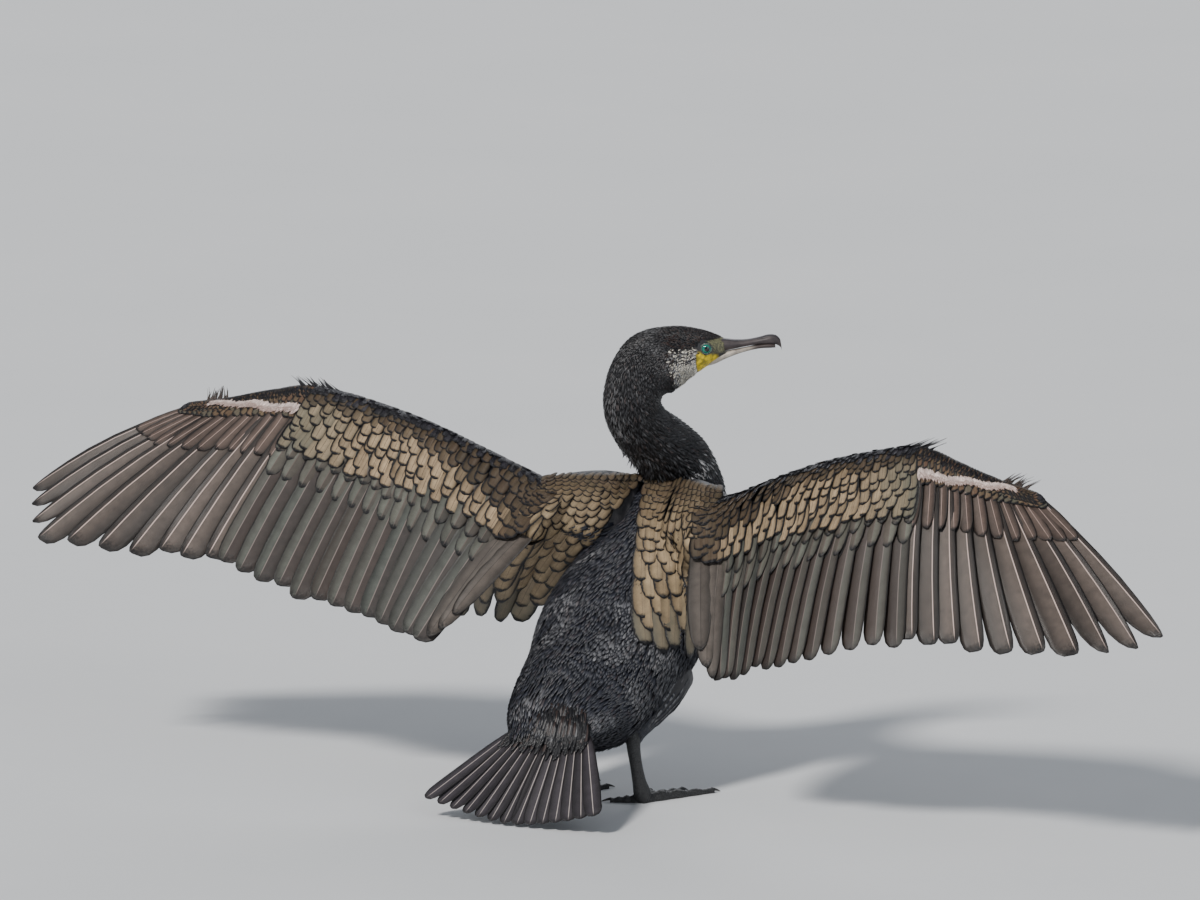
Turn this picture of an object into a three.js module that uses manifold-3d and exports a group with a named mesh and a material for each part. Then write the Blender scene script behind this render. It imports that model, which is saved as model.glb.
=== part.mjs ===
// A great cormorant, life size, drying its spread wings: it stands on both webbed feet, its stiff tail just
// reaches the ground behind it, its neck is drawn back in an S and its head is turned to its right.
// Units are millimetres. The bird faces +Y, its right side is +X and +Z is up. The ground is z = 0.
import * as THREE from "three";
import { mergeVertices } from "three/addons/utils/BufferGeometryUtils.js";
import Module from "manifold-3d";

const wasm = await Module();
wasm.setup();

// Driving dimensions
const GAP = 0.3; // air between nodes that touch
const GROWN = GAP + 0.08; // how far a node is swollen to cut its neighbour clear
const TRUNK_HALF_WIDTH = 87;
const BODY_LEAN = -12; // how far the trunk hangs over to the left foot
const HEAD_TURN = THREE.MathUtils.degToRad(59.5); // how far the bill points right of straight ahead
const BILL_TILT = THREE.MathUtils.degToRad(4); // how far the bill points above level
const EYE_RADIUS = 6.2;
const LEG_SPREAD = 45; // from the midline to each leg
const HOCK_HEIGHT = 70;
const PRIMARIES = 10;
const SECONDARIES = 13;
const TERTIALS = 3;
const TAIL_FEATHERS = 14;
const VANE_EDGE = 0.6; // thickness of a flight feather at its edge
const COVERT_THICKNESS = 0.9;

// A repeatable random number from 0 to 1
let seed = 7;
function random() {
  seed = (seed * 1664525 + 1013904223) % 4294967296;
  return seed / 4294967296;
}

function vec(x, y, z) {
  return new THREE.Vector3(x, y, z);
}

function lerp(a, b, t) {
  return a + (b - a) * t;
}

function smooth(t) {
  return THREE.MathUtils.smoothstep(t, 0, 1);
}

// A smooth list of numbers: the value at t, where t counts whole entries
function along(values, t) {
  const last = values.length - 1;
  const curve = new THREE.CatmullRomCurve3(values.map((v, i) => vec(i, v, 0)), false, "catmullrom", 0.5);
  return curve.getPoint(THREE.MathUtils.clamp(t / last, 0, 1)).y;
}

// A smooth line through places: the place at t, where t counts whole entries
function lineThrough(places) {
  const curve = new THREE.CatmullRomCurve3(places.map((p) => vec(...p)), false, "catmullrom", 0.5);
  return (t) => curve.getPoint(THREE.MathUtils.clamp(t / (places.length - 1), 0, 1));
}

// A three.js geometry made a solid, its faces pointing out
function solid(geometry) {
  const bare = geometry.index ? geometry.toNonIndexed() : geometry.clone();
  bare.deleteAttribute("normal");
  bare.deleteAttribute("uv");
  const merged = mergeVertices(bare, 1e-4);
  const triVerts = new Uint32Array(merged.index.array);
  const vertProperties = merged.attributes.position.array;
  const make = (faces) => new wasm.Manifold(new wasm.Mesh({ numProp: 3, vertProperties, triVerts: faces }));
  const made = make(triVerts);
  if (made.volume() > 0) return made;
  for (let i = 0; i < triVerts.length; i += 3) {
    [triVerts[i + 1], triVerts[i + 2]] = [triVerts[i + 2], triVerts[i + 1]];
  }
  return make(triVerts);
}

// The largest closed surface of a solid, so that loose scraps and sealed hollows go
function largest(made) {
  return made.decompose().reduce((best, one) => (one.volume() > best.volume() ? one : best));
}

function join(pieces) {
  return wasm.Manifold.union(pieces);
}

function geometryOf(made) {
  const mesh = made.getMesh();
  const geometry = new THREE.BufferGeometry();
  geometry.setAttribute("position", new THREE.BufferAttribute(new Float32Array(mesh.vertProperties), 3));
  geometry.setIndex(new THREE.BufferAttribute(new Uint32Array(mesh.triVerts), 1));
  geometry.computeVertexNormals();
  return geometry;
}

// A closed skin over rings of points, each ring with as many points as the next
function loft(rings) {
  const count = rings[0].length;
  const points = rings.flat();
  const faces = [];
  for (let r = 0; r + 1 < rings.length; r++) {
    for (let i = 0; i < count; i++) {
      const a = r * count + i;
      const b = r * count + ((i + 1) % count);
      faces.push(a, b, b + count, a, b + count, a + count);
    }
  }
  for (const [ring, start] of [[rings[0], 0], [rings.at(-1), points.length - count]]) {
    const middle = ring.reduce((sum, p) => sum.add(p), vec(0, 0, 0)).divideScalar(count);
    points.push(middle);
    for (let i = 0; i < count; i++) {
      const a = start + i;
      const b = start + ((i + 1) % count);
      faces.push(...(start ? [a, b, points.length - 1] : [b, a, points.length - 1]));
    }
  }
  const geometry = new THREE.BufferGeometry().setFromPoints(points);
  geometry.setIndex(faces);
  return solid(geometry);
}

// Rings whose first and last are moved outward along their line by a length
function lengthened(rings, length) {
  const middleOf = (ring) => ring.reduce((sum, p) => sum.add(p), vec(0, 0, 0)).divideScalar(ring.length);
  const middles = rings.map(middleOf);
  const before = middles[0].clone().sub(middles[1]).setLength(length);
  const after = middles.at(-1).clone().sub(middles.at(-2)).setLength(length);
  rings[0].forEach((p) => p.add(before));
  rings.at(-1).forEach((p) => p.add(after));
  return rings;
}

// An egg-shaped ring round a centre. side and up are its two directions, and the lower half has its own depth
function eggRing(centre, side, up, halfWidth, above, below, count) {
  const ring = [];
  for (let i = 0; i < count; i++) {
    const angle = (2 * Math.PI * i) / count;
    const height = Math.sin(angle) > 0 ? above : below;
    const place = centre.clone().addScaledVector(side, halfWidth * Math.cos(angle));
    ring.push(place.addScaledVector(up, height * Math.sin(angle)));
  }
  return ring;
}

// The body's line from the tail root through trunk, neck and head to the bill's base. Each station has its
// centre, half width, depth to the back, depth to the belly, and how far its side direction is turned
const BODY = [
  { at: [-4, -104, 80], half: 44, back: 13, belly: 15, turn: 0 },
  { at: [-7, -76, 90], half: 58, back: 32, belly: 30, turn: 0 },
  { at: [-11, -34, 98], half: 72, back: 54, belly: 50, turn: 0 },
  { at: [BODY_LEAN, 10, 121], half: 79, back: 63, belly: 63, turn: 0 },
  { at: [-13, 54, 160], half: TRUNK_HALF_WIDTH, back: 66, belly: 68, turn: 0 },
  { at: [-4, 95, 206], half: 79, back: 64, belly: 66, turn: 0 },
  { at: [0, 128, 247], half: 66, back: 56, belly: 56, turn: 0 },
  { at: [0, 148, 285], half: 49, back: 50, belly: 43, turn: 0 },
  { at: [-1, 143, 318], half: 39, back: 36, belly: 34, turn: 0 },
  { at: [-5, 120, 340], half: 34, back: 31, belly: 31, turn: 0 },
  { at: [-9, 92, 359], half: 31, back: 29, belly: 29, turn: 0.02 },
  { at: [-11, 73, 384], half: 29, back: 29, belly: 28, turn: 0.15 },
  { at: [-6, 70, 410], half: 28, back: 30, belly: 31, turn: 0.4 },
  { at: [6, 80, 430], half: 27, back: 33, belly: 37, turn: 0.75 },
  { at: [24, 97, 440], half: 24.5, back: 27, belly: 33, turn: 0.95 },
  { at: [43, 110, 443], half: 20.5, back: 21, belly: 23, turn: 1 },
  { at: [57, 119, 444], half: 13, back: 15, belly: 13.5, turn: 1 },
  { at: [65.5, 124, 445], half: 8.5, back: 10, belly: 9, turn: 1 },
];
const NECK_BASE = 7.4; // where the neck leaves the trunk, counted in stations
const NECK_MIDDLE = 10.5;
const NECK_TOP = 13.1;
const BODY_END = BODY.length - 1;
const BODY_RING = 18;

const bodyLine = lineThrough(BODY.map((s) => s.at));

// The directions of the body at a station: forward, to its side and to its back
function bodyFrame(t) {
  const step = 0.05;
  const forward = bodyLine(t + step).sub(bodyLine(t - step)).normalize();
  const turned = -HEAD_TURN * along(BODY.map((s) => s.turn), t);
  const side = vec(Math.cos(turned), Math.sin(turned), 0);
  side.addScaledVector(forward, -side.dot(forward)).normalize();
  const up = side.clone().cross(forward).normalize();
  return { forward, side, up };
}

function bodyPiece(from, to, steps, grow = 0) {
  const rings = [];
  for (let i = 0; i <= steps; i++) {
    const t = lerp(from, to, i / steps);
    const { side, up } = bodyFrame(t);
    const size = (name) => along(BODY.map((s) => s[name]), t) + grow;
    rings.push(eggRing(bodyLine(t), side, up, size("half"), size("back"), size("belly"), BODY_RING));
  }
  return loft(lengthened(rings, grow));
}

// A station a little further along the body, by a distance in millimetres
function bodyPast(t, distance) {
  const step = 0.05;
  return t + (distance * step) / bodyLine(t + step).distanceTo(bodyLine(t));
}

// A feather's vane as a thin closed plate. Each station has its place, the direction across to the outer
// edge, the direction out of its face, and its outer and inner widths. A shaft stands proud along it
function shaftedVane(stations, shaftRoot, shaftTip) {
  const rings = stations.map(({ at, across, out, outer, inner }, i) => {
    const shaft = lerp(shaftRoot, shaftTip, i / (stations.length - 1)) / 2;
    const place = (w, h) => at.clone().addScaledVector(across, w).addScaledVector(out, h);
    const edge = VANE_EDGE / 2;
    const upper = [place(outer, edge), place(0, shaft), place(-inner, edge)];
    const lower = [place(-inner, -edge), place(0, -shaft), place(outer, -edge)];
    return [...upper, ...lower];
  });
  return plate(rings);
}

function plainVane(stations, thickness) {
  const rings = stations.map(({ at, across, out, outer, inner }) => {
    const place = (w, h) => at.clone().addScaledVector(across, w).addScaledVector(out, h);
    const half = thickness / 2;
    return [place(outer, half), place(-inner, half), place(-inner, -half), place(outer, -half)];
  });
  return plate(rings);
}

// Rings whose first half is a plate's upper face and second half its lower face, split alike on both
function plate(rings) {
  const count = rings[0].length;
  const points = rings.flat();
  const faces = [];
  const half = count / 2;
  for (let r = 0; r + 1 < rings.length; r++) {
    for (let i = 0; i < count; i++) {
      const a = r * count + i;
      const b = r * count + ((i + 1) % count);
      if (i < half) faces.push(a, b, b + count, a, b + count, a + count);
      else faces.push(a, b, a + count, b, b + count, a + count);
    }
  }
  for (const start of [0, points.length - count]) {
    for (let i = 0; i + 1 < half; i++) {
      const [a, b, c, d] = [start + i, start + i + 1, start + count - 2 - i, start + count - 1 - i];
      faces.push(...(start ? [a, b, c, a, c, d] : [a, c, b, a, d, c]));
    }
  }
  const geometry = new THREE.BufferGeometry().setFromPoints(points);
  geometry.setIndex(faces);
  return solid(geometry);
}

// The spread wing as a surface, right side: s counts the rows from shoulder to hand tip, and v runs from 0 at
// the leading edge to 1 at the feather tips
const WING = [
  { name: "shoulder", lead: [62, 63, 292], trail: [143, -64, 162], flesh: 66, thick: 30 },
  { name: "upper arm", lead: [112, 68, 306], trail: [173, -72, 144], flesh: 64, thick: 26 },
  { name: "elbow", lead: [205, 51, 345], trail: [226, -90, 161], flesh: 60, thick: 21 },
  { name: "forearm", lead: [272, 44, 366], trail: [303, -106, 182], flesh: 48, thick: 17 },
  { name: "wrist", lead: [346, 30, 382], trail: [403, -96, 207], flesh: 33, thick: 14 },
  { name: "hand", lead: [394, 27, 370], trail: [488, -104, 211], flesh: 24, thick: 11 },
  { name: "fingers", lead: [442, 20, 357], trail: [600, -102, 215], flesh: 17, thick: 8 },
  { name: "hand tip", lead: [488, 14, 348], trail: [658, -22, 236], flesh: 11, thick: 5 },
];
const WRIST = 4;
const HAND_TIP = 7;
const CAMBER = 10; // how far the wing bulges to its upper side
const TIP_DROOP = 13; // how much lower the right wing's last primaries hang, and how much higher the left's
const LEFT_LIFT = vec(0, 7, 10); // how much further forward and higher the left wing's feather tips are

const leadLine = lineThrough(WING.map((s) => s.lead));
const trailLine = lineThrough(WING.map((s) => s.trail));

function wing(mirror) {
  const across = mirror ? -1 : 1;
  const seen = (p) => vec(p.x * across, p.y, p.z);

  // Directions on the right wing: down the feathers, out along the wing, and out of the upper face
  function frame(s) {
    const step = 0.05;
    const down = trail(s).sub(lead(s)).normalize();
    const middle = (t) => lead(t).lerp(trail(t), 0.5);
    const span = middle(Math.min(s + step, HAND_TIP)).sub(middle(Math.max(s - step, 0)));
    const out = down.clone().cross(span).normalize();
    return { down, out, across: out.clone().cross(down).normalize() };
  }

  function trail(s) {
    const outermost = Math.max(0, (s - 5.9) / (HAND_TIP - 5.9));
    const place = trailLine(s).add(vec(0, 0, -across * TIP_DROOP * smooth(outermost)));
    return mirror ? place.add(LEFT_LIFT) : place;
  }

  // The left hand is held a little higher
  function lead(s) {
    const handShare = THREE.MathUtils.clamp((s - WRIST) / (HAND_TIP - WRIST), 0, 1);
    return leadLine(s).add(vec(0, 0, mirror ? 6 * Math.sin(Math.PI * Math.min(handShare, 0.6)) : 0));
  }

  function surface(s, v, height = 0) {
    const { out } = frame(s);
    const bulge = CAMBER * Math.sin(Math.PI * Math.min(v, 1) * 0.9) + height;
    return lead(s).lerp(trail(s), v).addScaledVector(out, bulge);
  }

  // The flesh, as an aerofoil from the leading edge back to where the feathers leave it
  function flesh(from, to, steps) {
    const rings = [];
    for (let i = 0; i <= steps; i++) {
      const s = lerp(from, to, i / steps);
      const { out } = frame(s);
      const chord = lead(s).distanceTo(trail(s));
      const depth = along(WING.map((w) => w.flesh), s) / chord;
      const half = along(WING.map((w) => w.thick), s) / 2;
      const ring = [];
      const points = 10;
      for (let k = 0; k < points; k++) {
        const angle = (2 * Math.PI * k) / points;
        const v = (depth * (1 - Math.cos(angle))) / 2;
        ring.push(seen(surface(s, v).addScaledVector(out, half * Math.sin(angle))));
      }
      rings.push(ring);
    }
    return loft(rings);
  }

  // One feather down the wing from v0 to v1, turned a little about its shaft so that it lies over the next
  // feather out. height lifts it off the surface at root and tip
  function feather({ s, v0, v1, outer, inner, roll, rise, shape, shaft, lean = 0 }) {
    const stations = shape.map(([t, width]) => {
      const v = lerp(v0, v1, t);
      const { across: w, out: n } = frame(s);
      const tilt = THREE.MathUtils.degToRad(roll);
      const place = surface(s, v, lerp(rise[0], rise[1], t)).addScaledVector(w, lean * t * t);
      const turned = w.clone().multiplyScalar(Math.cos(tilt)).addScaledVector(n, Math.sin(tilt));
      const face = n.clone().multiplyScalar(Math.cos(tilt)).addScaledVector(w, -Math.sin(tilt));
      const mirrored = (d) => vec(d.x * across, d.y, d.z);
      const widths = { outer: outer * width, inner: inner * width };
      return { at: seen(place), across: mirrored(turned), out: mirrored(face), ...widths };
    });
    return shaft ? shaftedVane(stations, shaft[0], shaft[1]) : plainVane(stations, COVERT_THICKNESS);
  }

  const FLIGHT = [[0, 0.5], [0.35, 0.95], [0.92, 0.95], [1, 0.4]];
  const COVERT = [[0, 0.55], [0.75, 1], [1, 0.45]];
  const fleshEnd = (s) => along(WING.map((w) => w.flesh), s) / lead(s).distanceTo(trail(s));

  function flightFeathers(count, from, to, sizes) {
    const made = [];
    for (let i = 0; i < count; i++) {
      const t = count > 1 ? i / (count - 1) : 0;
      const s = lerp(from, to, t);
      made.push(
        feather({
          s,
          v0: fleshEnd(s) * 0.55,
          v1: 1 - 0.012 * random(),
          outer: sizes.outer(t),
          inner: sizes.inner(t),
          roll: 8,
          rise: [0, 0],
          shape: FLIGHT,
          shaft: [2.4, 1],
        }),
      );
    }
    return made;
  }

  function covertRow(count, from, to, { v0, v1, width, rise }) {
    const made = [];
    for (let i = 0; i < count; i++) {
      const t = i / (count - 1);
      const s = lerp(from, to, t);
      const length = 1 + 0.06 * (random() - 0.5);
      const start = lerp(v0[0], v0[1], t);
      made.push(
        feather({
          s,
          v0: start,
          v1: start + (lerp(v1[0], v1[1], t) - start) * length,
          outer: width * 0.45,
          inner: width * 0.55,
          roll: 8,
          rise,
          shape: COVERT,
        }),
      );
    }
    return made;
  }

  // A block that holds the part of the wing between two rows, to divide the wing across
  function region(from, to) {
    const rings = [];
    for (let i = 0; i <= 3; i++) {
      const s = lerp(from, to, i / 3);
      const corners = [[-0.4, -60], [1.3, -60], [1.3, 60], [-0.4, 60]];
      rings.push(corners.map(([v, height]) => seen(surface(s, v, height))));
    }
    return loft(rings);
  }

  const cut = 0.003; // half the slit between arm and hand, in rows
  const arm = join([
    flesh(0, WRIST, 8),
    ...flightFeathers(TERTIALS, 0.3, 0.9, { outer: () => 13, inner: () => 16 }),
    ...flightFeathers(SECONDARIES, 1.15, 3.9, { outer: () => 9.5, inner: () => 15 }),
    ...covertRow(11, 1.2, 3.88, { v0: [0.2, 0.14], v1: [0.56, 0.5], width: 24, rise: [4, 3.4] }),
    ...covertRow(9, 1.2, 3.84, { v0: [0.12, 0.07], v1: [0.37, 0.31], width: 28, rise: [6.5, 6.5] }),
  ]).intersect(region(-0.6, WRIST - cut));
  const hand = join([
    flesh(WRIST - 0.2, HAND_TIP, 7),
    ...flightFeathers(PRIMARIES, 4.09, 6.97, { outer: (t) => lerp(8, 5.5, t), inner: (t) => lerp(19, 20, t) }),
    ...covertRow(8, 4.15, 6.8, { v0: [0.08, 0.03], v1: [0.42, 0.37], width: 21, rise: [2.6, 2.8] }),
    ...alula(),
  ]).intersect(region(WRIST + cut, HAND_TIP + 0.9));

  // The thumb's feathers, which lie along the hand's leading edge
  function alula() {
    const made = [];
    for (let i = 0; i < 4; i++) {
      const root = surface(4.25 + 0.1 * i, 0.05 + 0.015 * i, 2.5);
      const tip = surface(5.2 + 0.35 * i, 0.07 - 0.012 * i, 6.5 - 1.2 * i);
      const { out } = frame(4.6);
      const down = tip.clone().sub(root).normalize();
      const wide = out.clone().cross(down).normalize();
      const face = down.clone().cross(wide).normalize();
      const stations = COVERT.map(([t, width]) => ({
        at: seen(root.clone().lerp(tip, t)),
        across: vec(wide.x * across, wide.y, wide.z),
        out: vec(face.x * across, face.y, face.z),
        outer: 5.5 * width,
        inner: 5.5 * width,
      }));
      made.push(plainVane(stations, COVERT_THICKNESS));
    }
    return made;
  }
  return { arm, hand };
}

// One shoulder: the muscle above the wing's root and the scapular feathers that hang from it. grow swells it,
// to cut clear whatever meets it
function shoulder(mirror, grow = 0) {
  const across = mirror ? -1 : 1;
  const hump = [
    [24, 104, 272, 26],
    [44, 86, 279, 31],
    [74, 70, 284, 27],
    [102, 58, 286, 20],
    [124, 50, 288, 11],
  ];
  const side = vec(0, 0.68, 0.73);
  const up = vec(0, -0.73, 0.68);
  const rings = hump.map(([x, y, z, r]) => {
    const high = r + grow;
    return eggRing(vec(x * across, y, z), side, up, r * 1.35 + grow, high, high, 14);
  });
  const made = [loft(rings)];
  const perRow = 4;
  const rows = [
    { roots: [[30, 84, 286], [92, 52, 280]], tips: [[56, 24, 240], [128, 0, 226]], width: 27, lift: 9 },
    { roots: [[34, 68, 264], [84, 42, 258]], tips: [[70, -12, 204], [134, -30, 192]], width: 27, lift: 8 },
    { roots: [[42, 60, 252], [76, 42, 250]], tips: [[80, -46, 169], [128, -62, 161]], width: 29, lift: 4 },
  ];
  for (const { roots, tips, width, lift } of rows) {
    for (let i = 0; i < perRow; i++) {
      const t = i / (perRow - 1);
      const root = vec(...roots[0]).lerp(vec(...roots[1]), t);
      const tip = vec(...tips[0]).lerp(vec(...tips[1]), t);
      const down = tip.clone().sub(root).normalize();
      const away = vec(0.25, -0.78, 0.58);
      const wide = away.clone().cross(down).negate().normalize();
      const tilt = THREE.MathUtils.degToRad(7);
      const flat = down.clone().cross(wide).normalize();
      const out = flat.dot(away) > 0 ? flat : flat.negate();
      const turned = wide.clone().multiplyScalar(Math.cos(tilt)).addScaledVector(out, -Math.sin(tilt));
      const face = out.clone().multiplyScalar(Math.cos(tilt)).addScaledVector(wide, Math.sin(tilt));
      const stations = [[0, 0.6], [0.5, 1], [0.85, 0.9], [1, 0.35]].map(([u, share]) => {
        const bulge = lift * Math.sin(Math.PI * Math.min(1, u * 0.8 + 0.1));
        const place = root.clone().lerp(tip, u).addScaledVector(out, bulge);
        return {
          at: vec(place.x * across, place.y, place.z),
          across: vec(turned.x * across, turned.y, turned.z),
          out: vec(face.x * across, face.y, face.z),
          outer: (width / 2) * share + grow,
          inner: (width / 2) * share + grow,
        };
      });
      made.push(plainVane(stations, COVERT_THICKNESS + 2 * grow));
    }
  }
  return join(made);
}

// The tail: a flat root and a fan of stiff feathers, the middle ones uppermost
const TAIL = {
  root: [0, -106, 84],
  rootHalf: 41,
  tip: [0, -186, 1.4],
  outerTip: [97, -187, 19],
  featherWidth: 19,
};

function tail() {
  const down = vec(0, TAIL.tip[1] - TAIL.root[1], TAIL.tip[2] - TAIL.root[2]).normalize();
  const out = vec(1, 0, 0).cross(down).normalize();
  if (out.z < 0) out.negate();
  const rings = [-14, -4, 8, 22, 34].map((d, i) => {
    const half = [32, 39, 44, 47, 48][i];
    const thick = [9, 9, 7.5, 5, 2.4][i];
    return eggRing(vec(...TAIL.root).addScaledVector(down, d), vec(1, 0, 0), out, half, thick, thick, 14);
  });
  const pieces = [loft(rings)];
  for (let i = 0; i < TAIL_FEATHERS; i++) {
    const u = (2 * i) / (TAIL_FEATHERS - 1) - 1;
    const away = Math.abs(u);
    const root = vec(TAIL.rootHalf * u, TAIL.root[1], TAIL.root[2]).addScaledVector(out, -2.4 * away);
    const tip = vec(
      TAIL.outerTip[0] * u,
      lerp(TAIL.tip[1], TAIL.outerTip[1], away ** 2),
      lerp(TAIL.tip[2], TAIL.outerTip[2], away ** 1.6) + 1.2,
    );
    const line = tip.clone().sub(root).normalize();
    const wide = line.clone().cross(out).normalize();
    if (wide.x < 0) wide.negate();
    const tilt = THREE.MathUtils.degToRad(-7 * Math.sign(u));
    const turned = wide.clone().multiplyScalar(Math.cos(tilt)).addScaledVector(out, Math.sin(tilt));
    const face = out.clone().multiplyScalar(Math.cos(tilt)).addScaledVector(wide, -Math.sin(tilt));
    const stations = [[0, 0.5], [0.4, 0.85], [0.88, 1], [1, 0.35]].map(([t, share]) => ({
      at: root.clone().lerp(tip, t),
      across: turned,
      out: face,
      outer: (TAIL.featherWidth / 2) * share,
      inner: (TAIL.featherWidth / 2) * share,
    }));
    pieces.push(shaftedVane(stations, 2.4, 1.2));
  }
  return join(pieces);
}

// The head's own directions, for the bill and the eyes
const billWay = vec(Math.sin(HEAD_TURN), Math.cos(HEAD_TURN), Math.tan(BILL_TILT)).normalize();
const headSide = vec(Math.cos(HEAD_TURN), -Math.sin(HEAD_TURN), 0);
const headUp = headSide.clone().cross(billWay).normalize();
const HEAD_ORIGIN = vec(43, 110, 443); // under the crown, level with the eyes

function headPlace(forward, up, side = 0) {
  const place = HEAD_ORIGIN.clone().addScaledVector(billWay, forward);
  return place.addScaledVector(headUp, up).addScaledVector(headSide, side);
}

// A mandible, lofted from stations of distance along the bill, top, bottom and half width
function mandible(stations, grow = 0) {
  const rings = stations.map(([forward, top, bottom, half]) => {
    const ring = [];
    const points = 10;
    for (let i = 0; i < points; i++) {
      const angle = (2 * Math.PI * i) / points;
      const height = (top + bottom) / 2 + ((top - bottom) / 2 + grow) * Math.sin(angle);
      ring.push(headPlace(forward, height, (half + grow) * Math.cos(angle)));
    }
    return ring;
  });
  return loft(lengthened(rings, grow));
}

const UPPER_BILL = [
  [8, 9, -5, 6.5],
  [18, 11.5, -5.5, 7.8],
  [27, 9.3, -3.6, 7],
  [38, 7.4, -1.8, 5.8],
  [50, 6.8, -0.2, 5],
  [62, 8.2, 0.6, 4.7],
  [71, 10, 0.2, 4.6],
  [78, 9.2, -0.6, 4],
  [82.4, 5, -3.6, 2.6],
  [83.6, -1.6, -7, 1],
];
const LOWER_BILL = [
  [6, -7, -18, 6.6],
  [16, -6, -16, 7],
  [26, -4.2, -12, 6.3],
  [38, -2.4, -8, 5],
  [50, -0.9, -5.2, 4.2],
  [62, 0, -3.6, 3.8],
  [72, -0.6, -4, 3.5],
  [76.5, -1.8, -4, 2.2],
];

// The eyes, set into sockets under a ring of bare skin
const EYE_FORWARD = 8.6;
const EYE_UP = 2.6;
const EYE_SIDE = 14.6;

function eyeAt(side, radius) {
  const centre = headPlace(EYE_FORWARD, EYE_UP, EYE_SIDE * side);
  return solid(new THREE.SphereGeometry(radius, 12, 8).translate(centre.x, centre.y, centre.z));
}

function eyelid(side) {
  const ring = new THREE.TorusGeometry(EYE_RADIUS - 0.9, 1.25, 5, 12);
  const turn = new THREE.Matrix4().makeBasis(billWay, headUp, headSide);
  const centre = headPlace(EYE_FORWARD, EYE_UP, (EYE_SIDE + 3.4) * side);
  return solid(ring.applyMatrix4(turn).translate(centre.x, centre.y, centre.z));
}

// A leg: the feathered thigh, the bare shank and the foot with all four toes in one web
function leg(mirror) {
  const across = mirror ? -1 : 1;
  const seat = (x, y, z) => vec((LEG_SPREAD + x) * across, y, z);
  const side = vec(1, 0, 0);

  function tube(stations, points, grow = 0) {
    const line = stations.map(([x, y, z, , , share = 0]) => seat(x, y, z).add(vec(BODY_LEAN * share, 0, 0)));
    const rings = stations.map(([, , , half, deep], i) => {
      const before = line[Math.max(0, i - 1)];
      const after = line[Math.min(line.length - 1, i + 1)];
      const way = after.clone().sub(before).normalize();
      const flat = side.clone().addScaledVector(way, -side.dot(way)).normalize();
      const up = flat.clone().cross(way).normalize();
      return eggRing(line[i], flat, up, half + grow, deep + grow, deep + grow, points);
    });
    return loft(lengthened(rings, grow));
  }

  // Each station of the thigh also has its share of the trunk's lean
  const thighStations = [
    [8, 52, 132, 28, 42, 1],
    [9, 30, 113, 27, 36, 1],
    [8, 14, 99, 22, 28, 0.8],
    [5, 0, 87, 16, 21, 0.5],
    [3, -12, 76, 11, 13.5, 0.2],
    [0, -18, HOCK_HEIGHT - 3, 8.4, 9, 0],
  ];
  const shankStations = [
    [0, -15, HOCK_HEIGHT + 8, 6, 7],
    [0, -20, HOCK_HEIGHT, 7.4, 9],
    [0, -20, HOCK_HEIGHT - 12, 6.2, 8.2],
    [0, -15, HOCK_HEIGHT - 30, 5.4, 7.6],
    [0, -9, HOCK_HEIGHT - 48, 6.2, 8.4],
    [0, -5, HOCK_HEIGHT - 57, 7.6, 9.6],
  ];
  const thigh = tube(thighStations, 14);
  const thighRoom = tube(thighStations, 14, GROWN);
  const shank = tube(shankStations, 12).subtract(thighRoom);
  const shankRoom = tube(shankStations, 12, GROWN);

  const ball = [0, -2];
  const toes = [
    { tip: [-29, -17], root: 5.2, end: 2.8 },
    { tip: [-20, 47], root: 5.4, end: 3 },
    { tip: [5, 68], root: 5.8, end: 3.2 },
    { tip: [33, 80], root: 6, end: 3.2 },
  ];
  const pieces = toes.map(({ tip, root, end }) => toe(ball, tip, root, end));
  pieces.push(web(ball, toes.map((t) => t.tip)));
  pieces.push(heel());
  return { thigh, shank, foot: join(pieces).subtract(shankRoom) };

  // A toe lies flat on the ground, swells at its joints and ends in a hooked claw
  function toe(from, to, root, end) {
    const way = vec((to[0] - from[0]) * across, to[1] - from[1], 0).normalize();
    const wide = vec(-way.y, way.x, 0);
    const length = Math.hypot(to[0] - from[0], to[1] - from[1]);
    const start = seat(from[0], from[1], 0);
    const claw = 11;
    const shape = [
      [-4, root, root * 1.9],
      [length * 0.28, lerp(root, end, 0.35) * 0.88, lerp(root, end, 0.3) * 1.5],
      [length * 0.52, lerp(root, end, 0.5) * 1.1, lerp(root, end, 0.5) * 1.75],
      [length, end * 0.95, end * 1.6],
      [length + claw * 0.5, end * 0.55, end * 1.25],
      [length + claw, end * 0.16, end * 0.3],
    ];
    return loft(
      shape.map(([d, half, high]) => {
        const middle = start.clone().addScaledVector(way, d);
        const section = [[1, 0], [0.95, 0.5], [0.5, 0.95], [-0.5, 0.95], [-0.95, 0.5], [-1, 0]];
        const corner = (w, h) => middle.clone().addScaledVector(wide, half * w).add(vec(0, 0, high * h));
        return section.map(([w, h]) => corner(w, h));
      }),
    );
  }

  // The web is a thin sheet on the ground, its free edge curving in between one toe's tip and the next
  function web(from, tips) {
    const outline = [seat(...from, 0)];
    tips.forEach((tip, i) => {
      outline.push(seat(...tip, 0));
      if (i + 1 < tips.length) {
        const next = tips[i + 1];
        for (const t of [0.25, 0.5, 0.75]) {
          const pull = 0.16 * Math.sin(Math.PI * t);
          const x = lerp(lerp(tip[0], next[0], t), from[0], pull);
          const y = lerp(lerp(tip[1], next[1], t), from[1], pull);
          outline.push(seat(x, y, 0));
        }
      }
    });
    const shape = new THREE.Shape(outline.map((p) => new THREE.Vector2(p.x, p.y)));
    return solid(new THREE.ExtrudeGeometry(shape, { depth: 1.8, bevelEnabled: false }));
  }

  function heel() {
    return tube(
      [
        [0, -3, 15, 6.4, 8],
        [0, -1, 8, 7.4, 9],
        [0, 1, 1.5, 7, 9],
      ],
      12,
    );
  }
}

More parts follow.
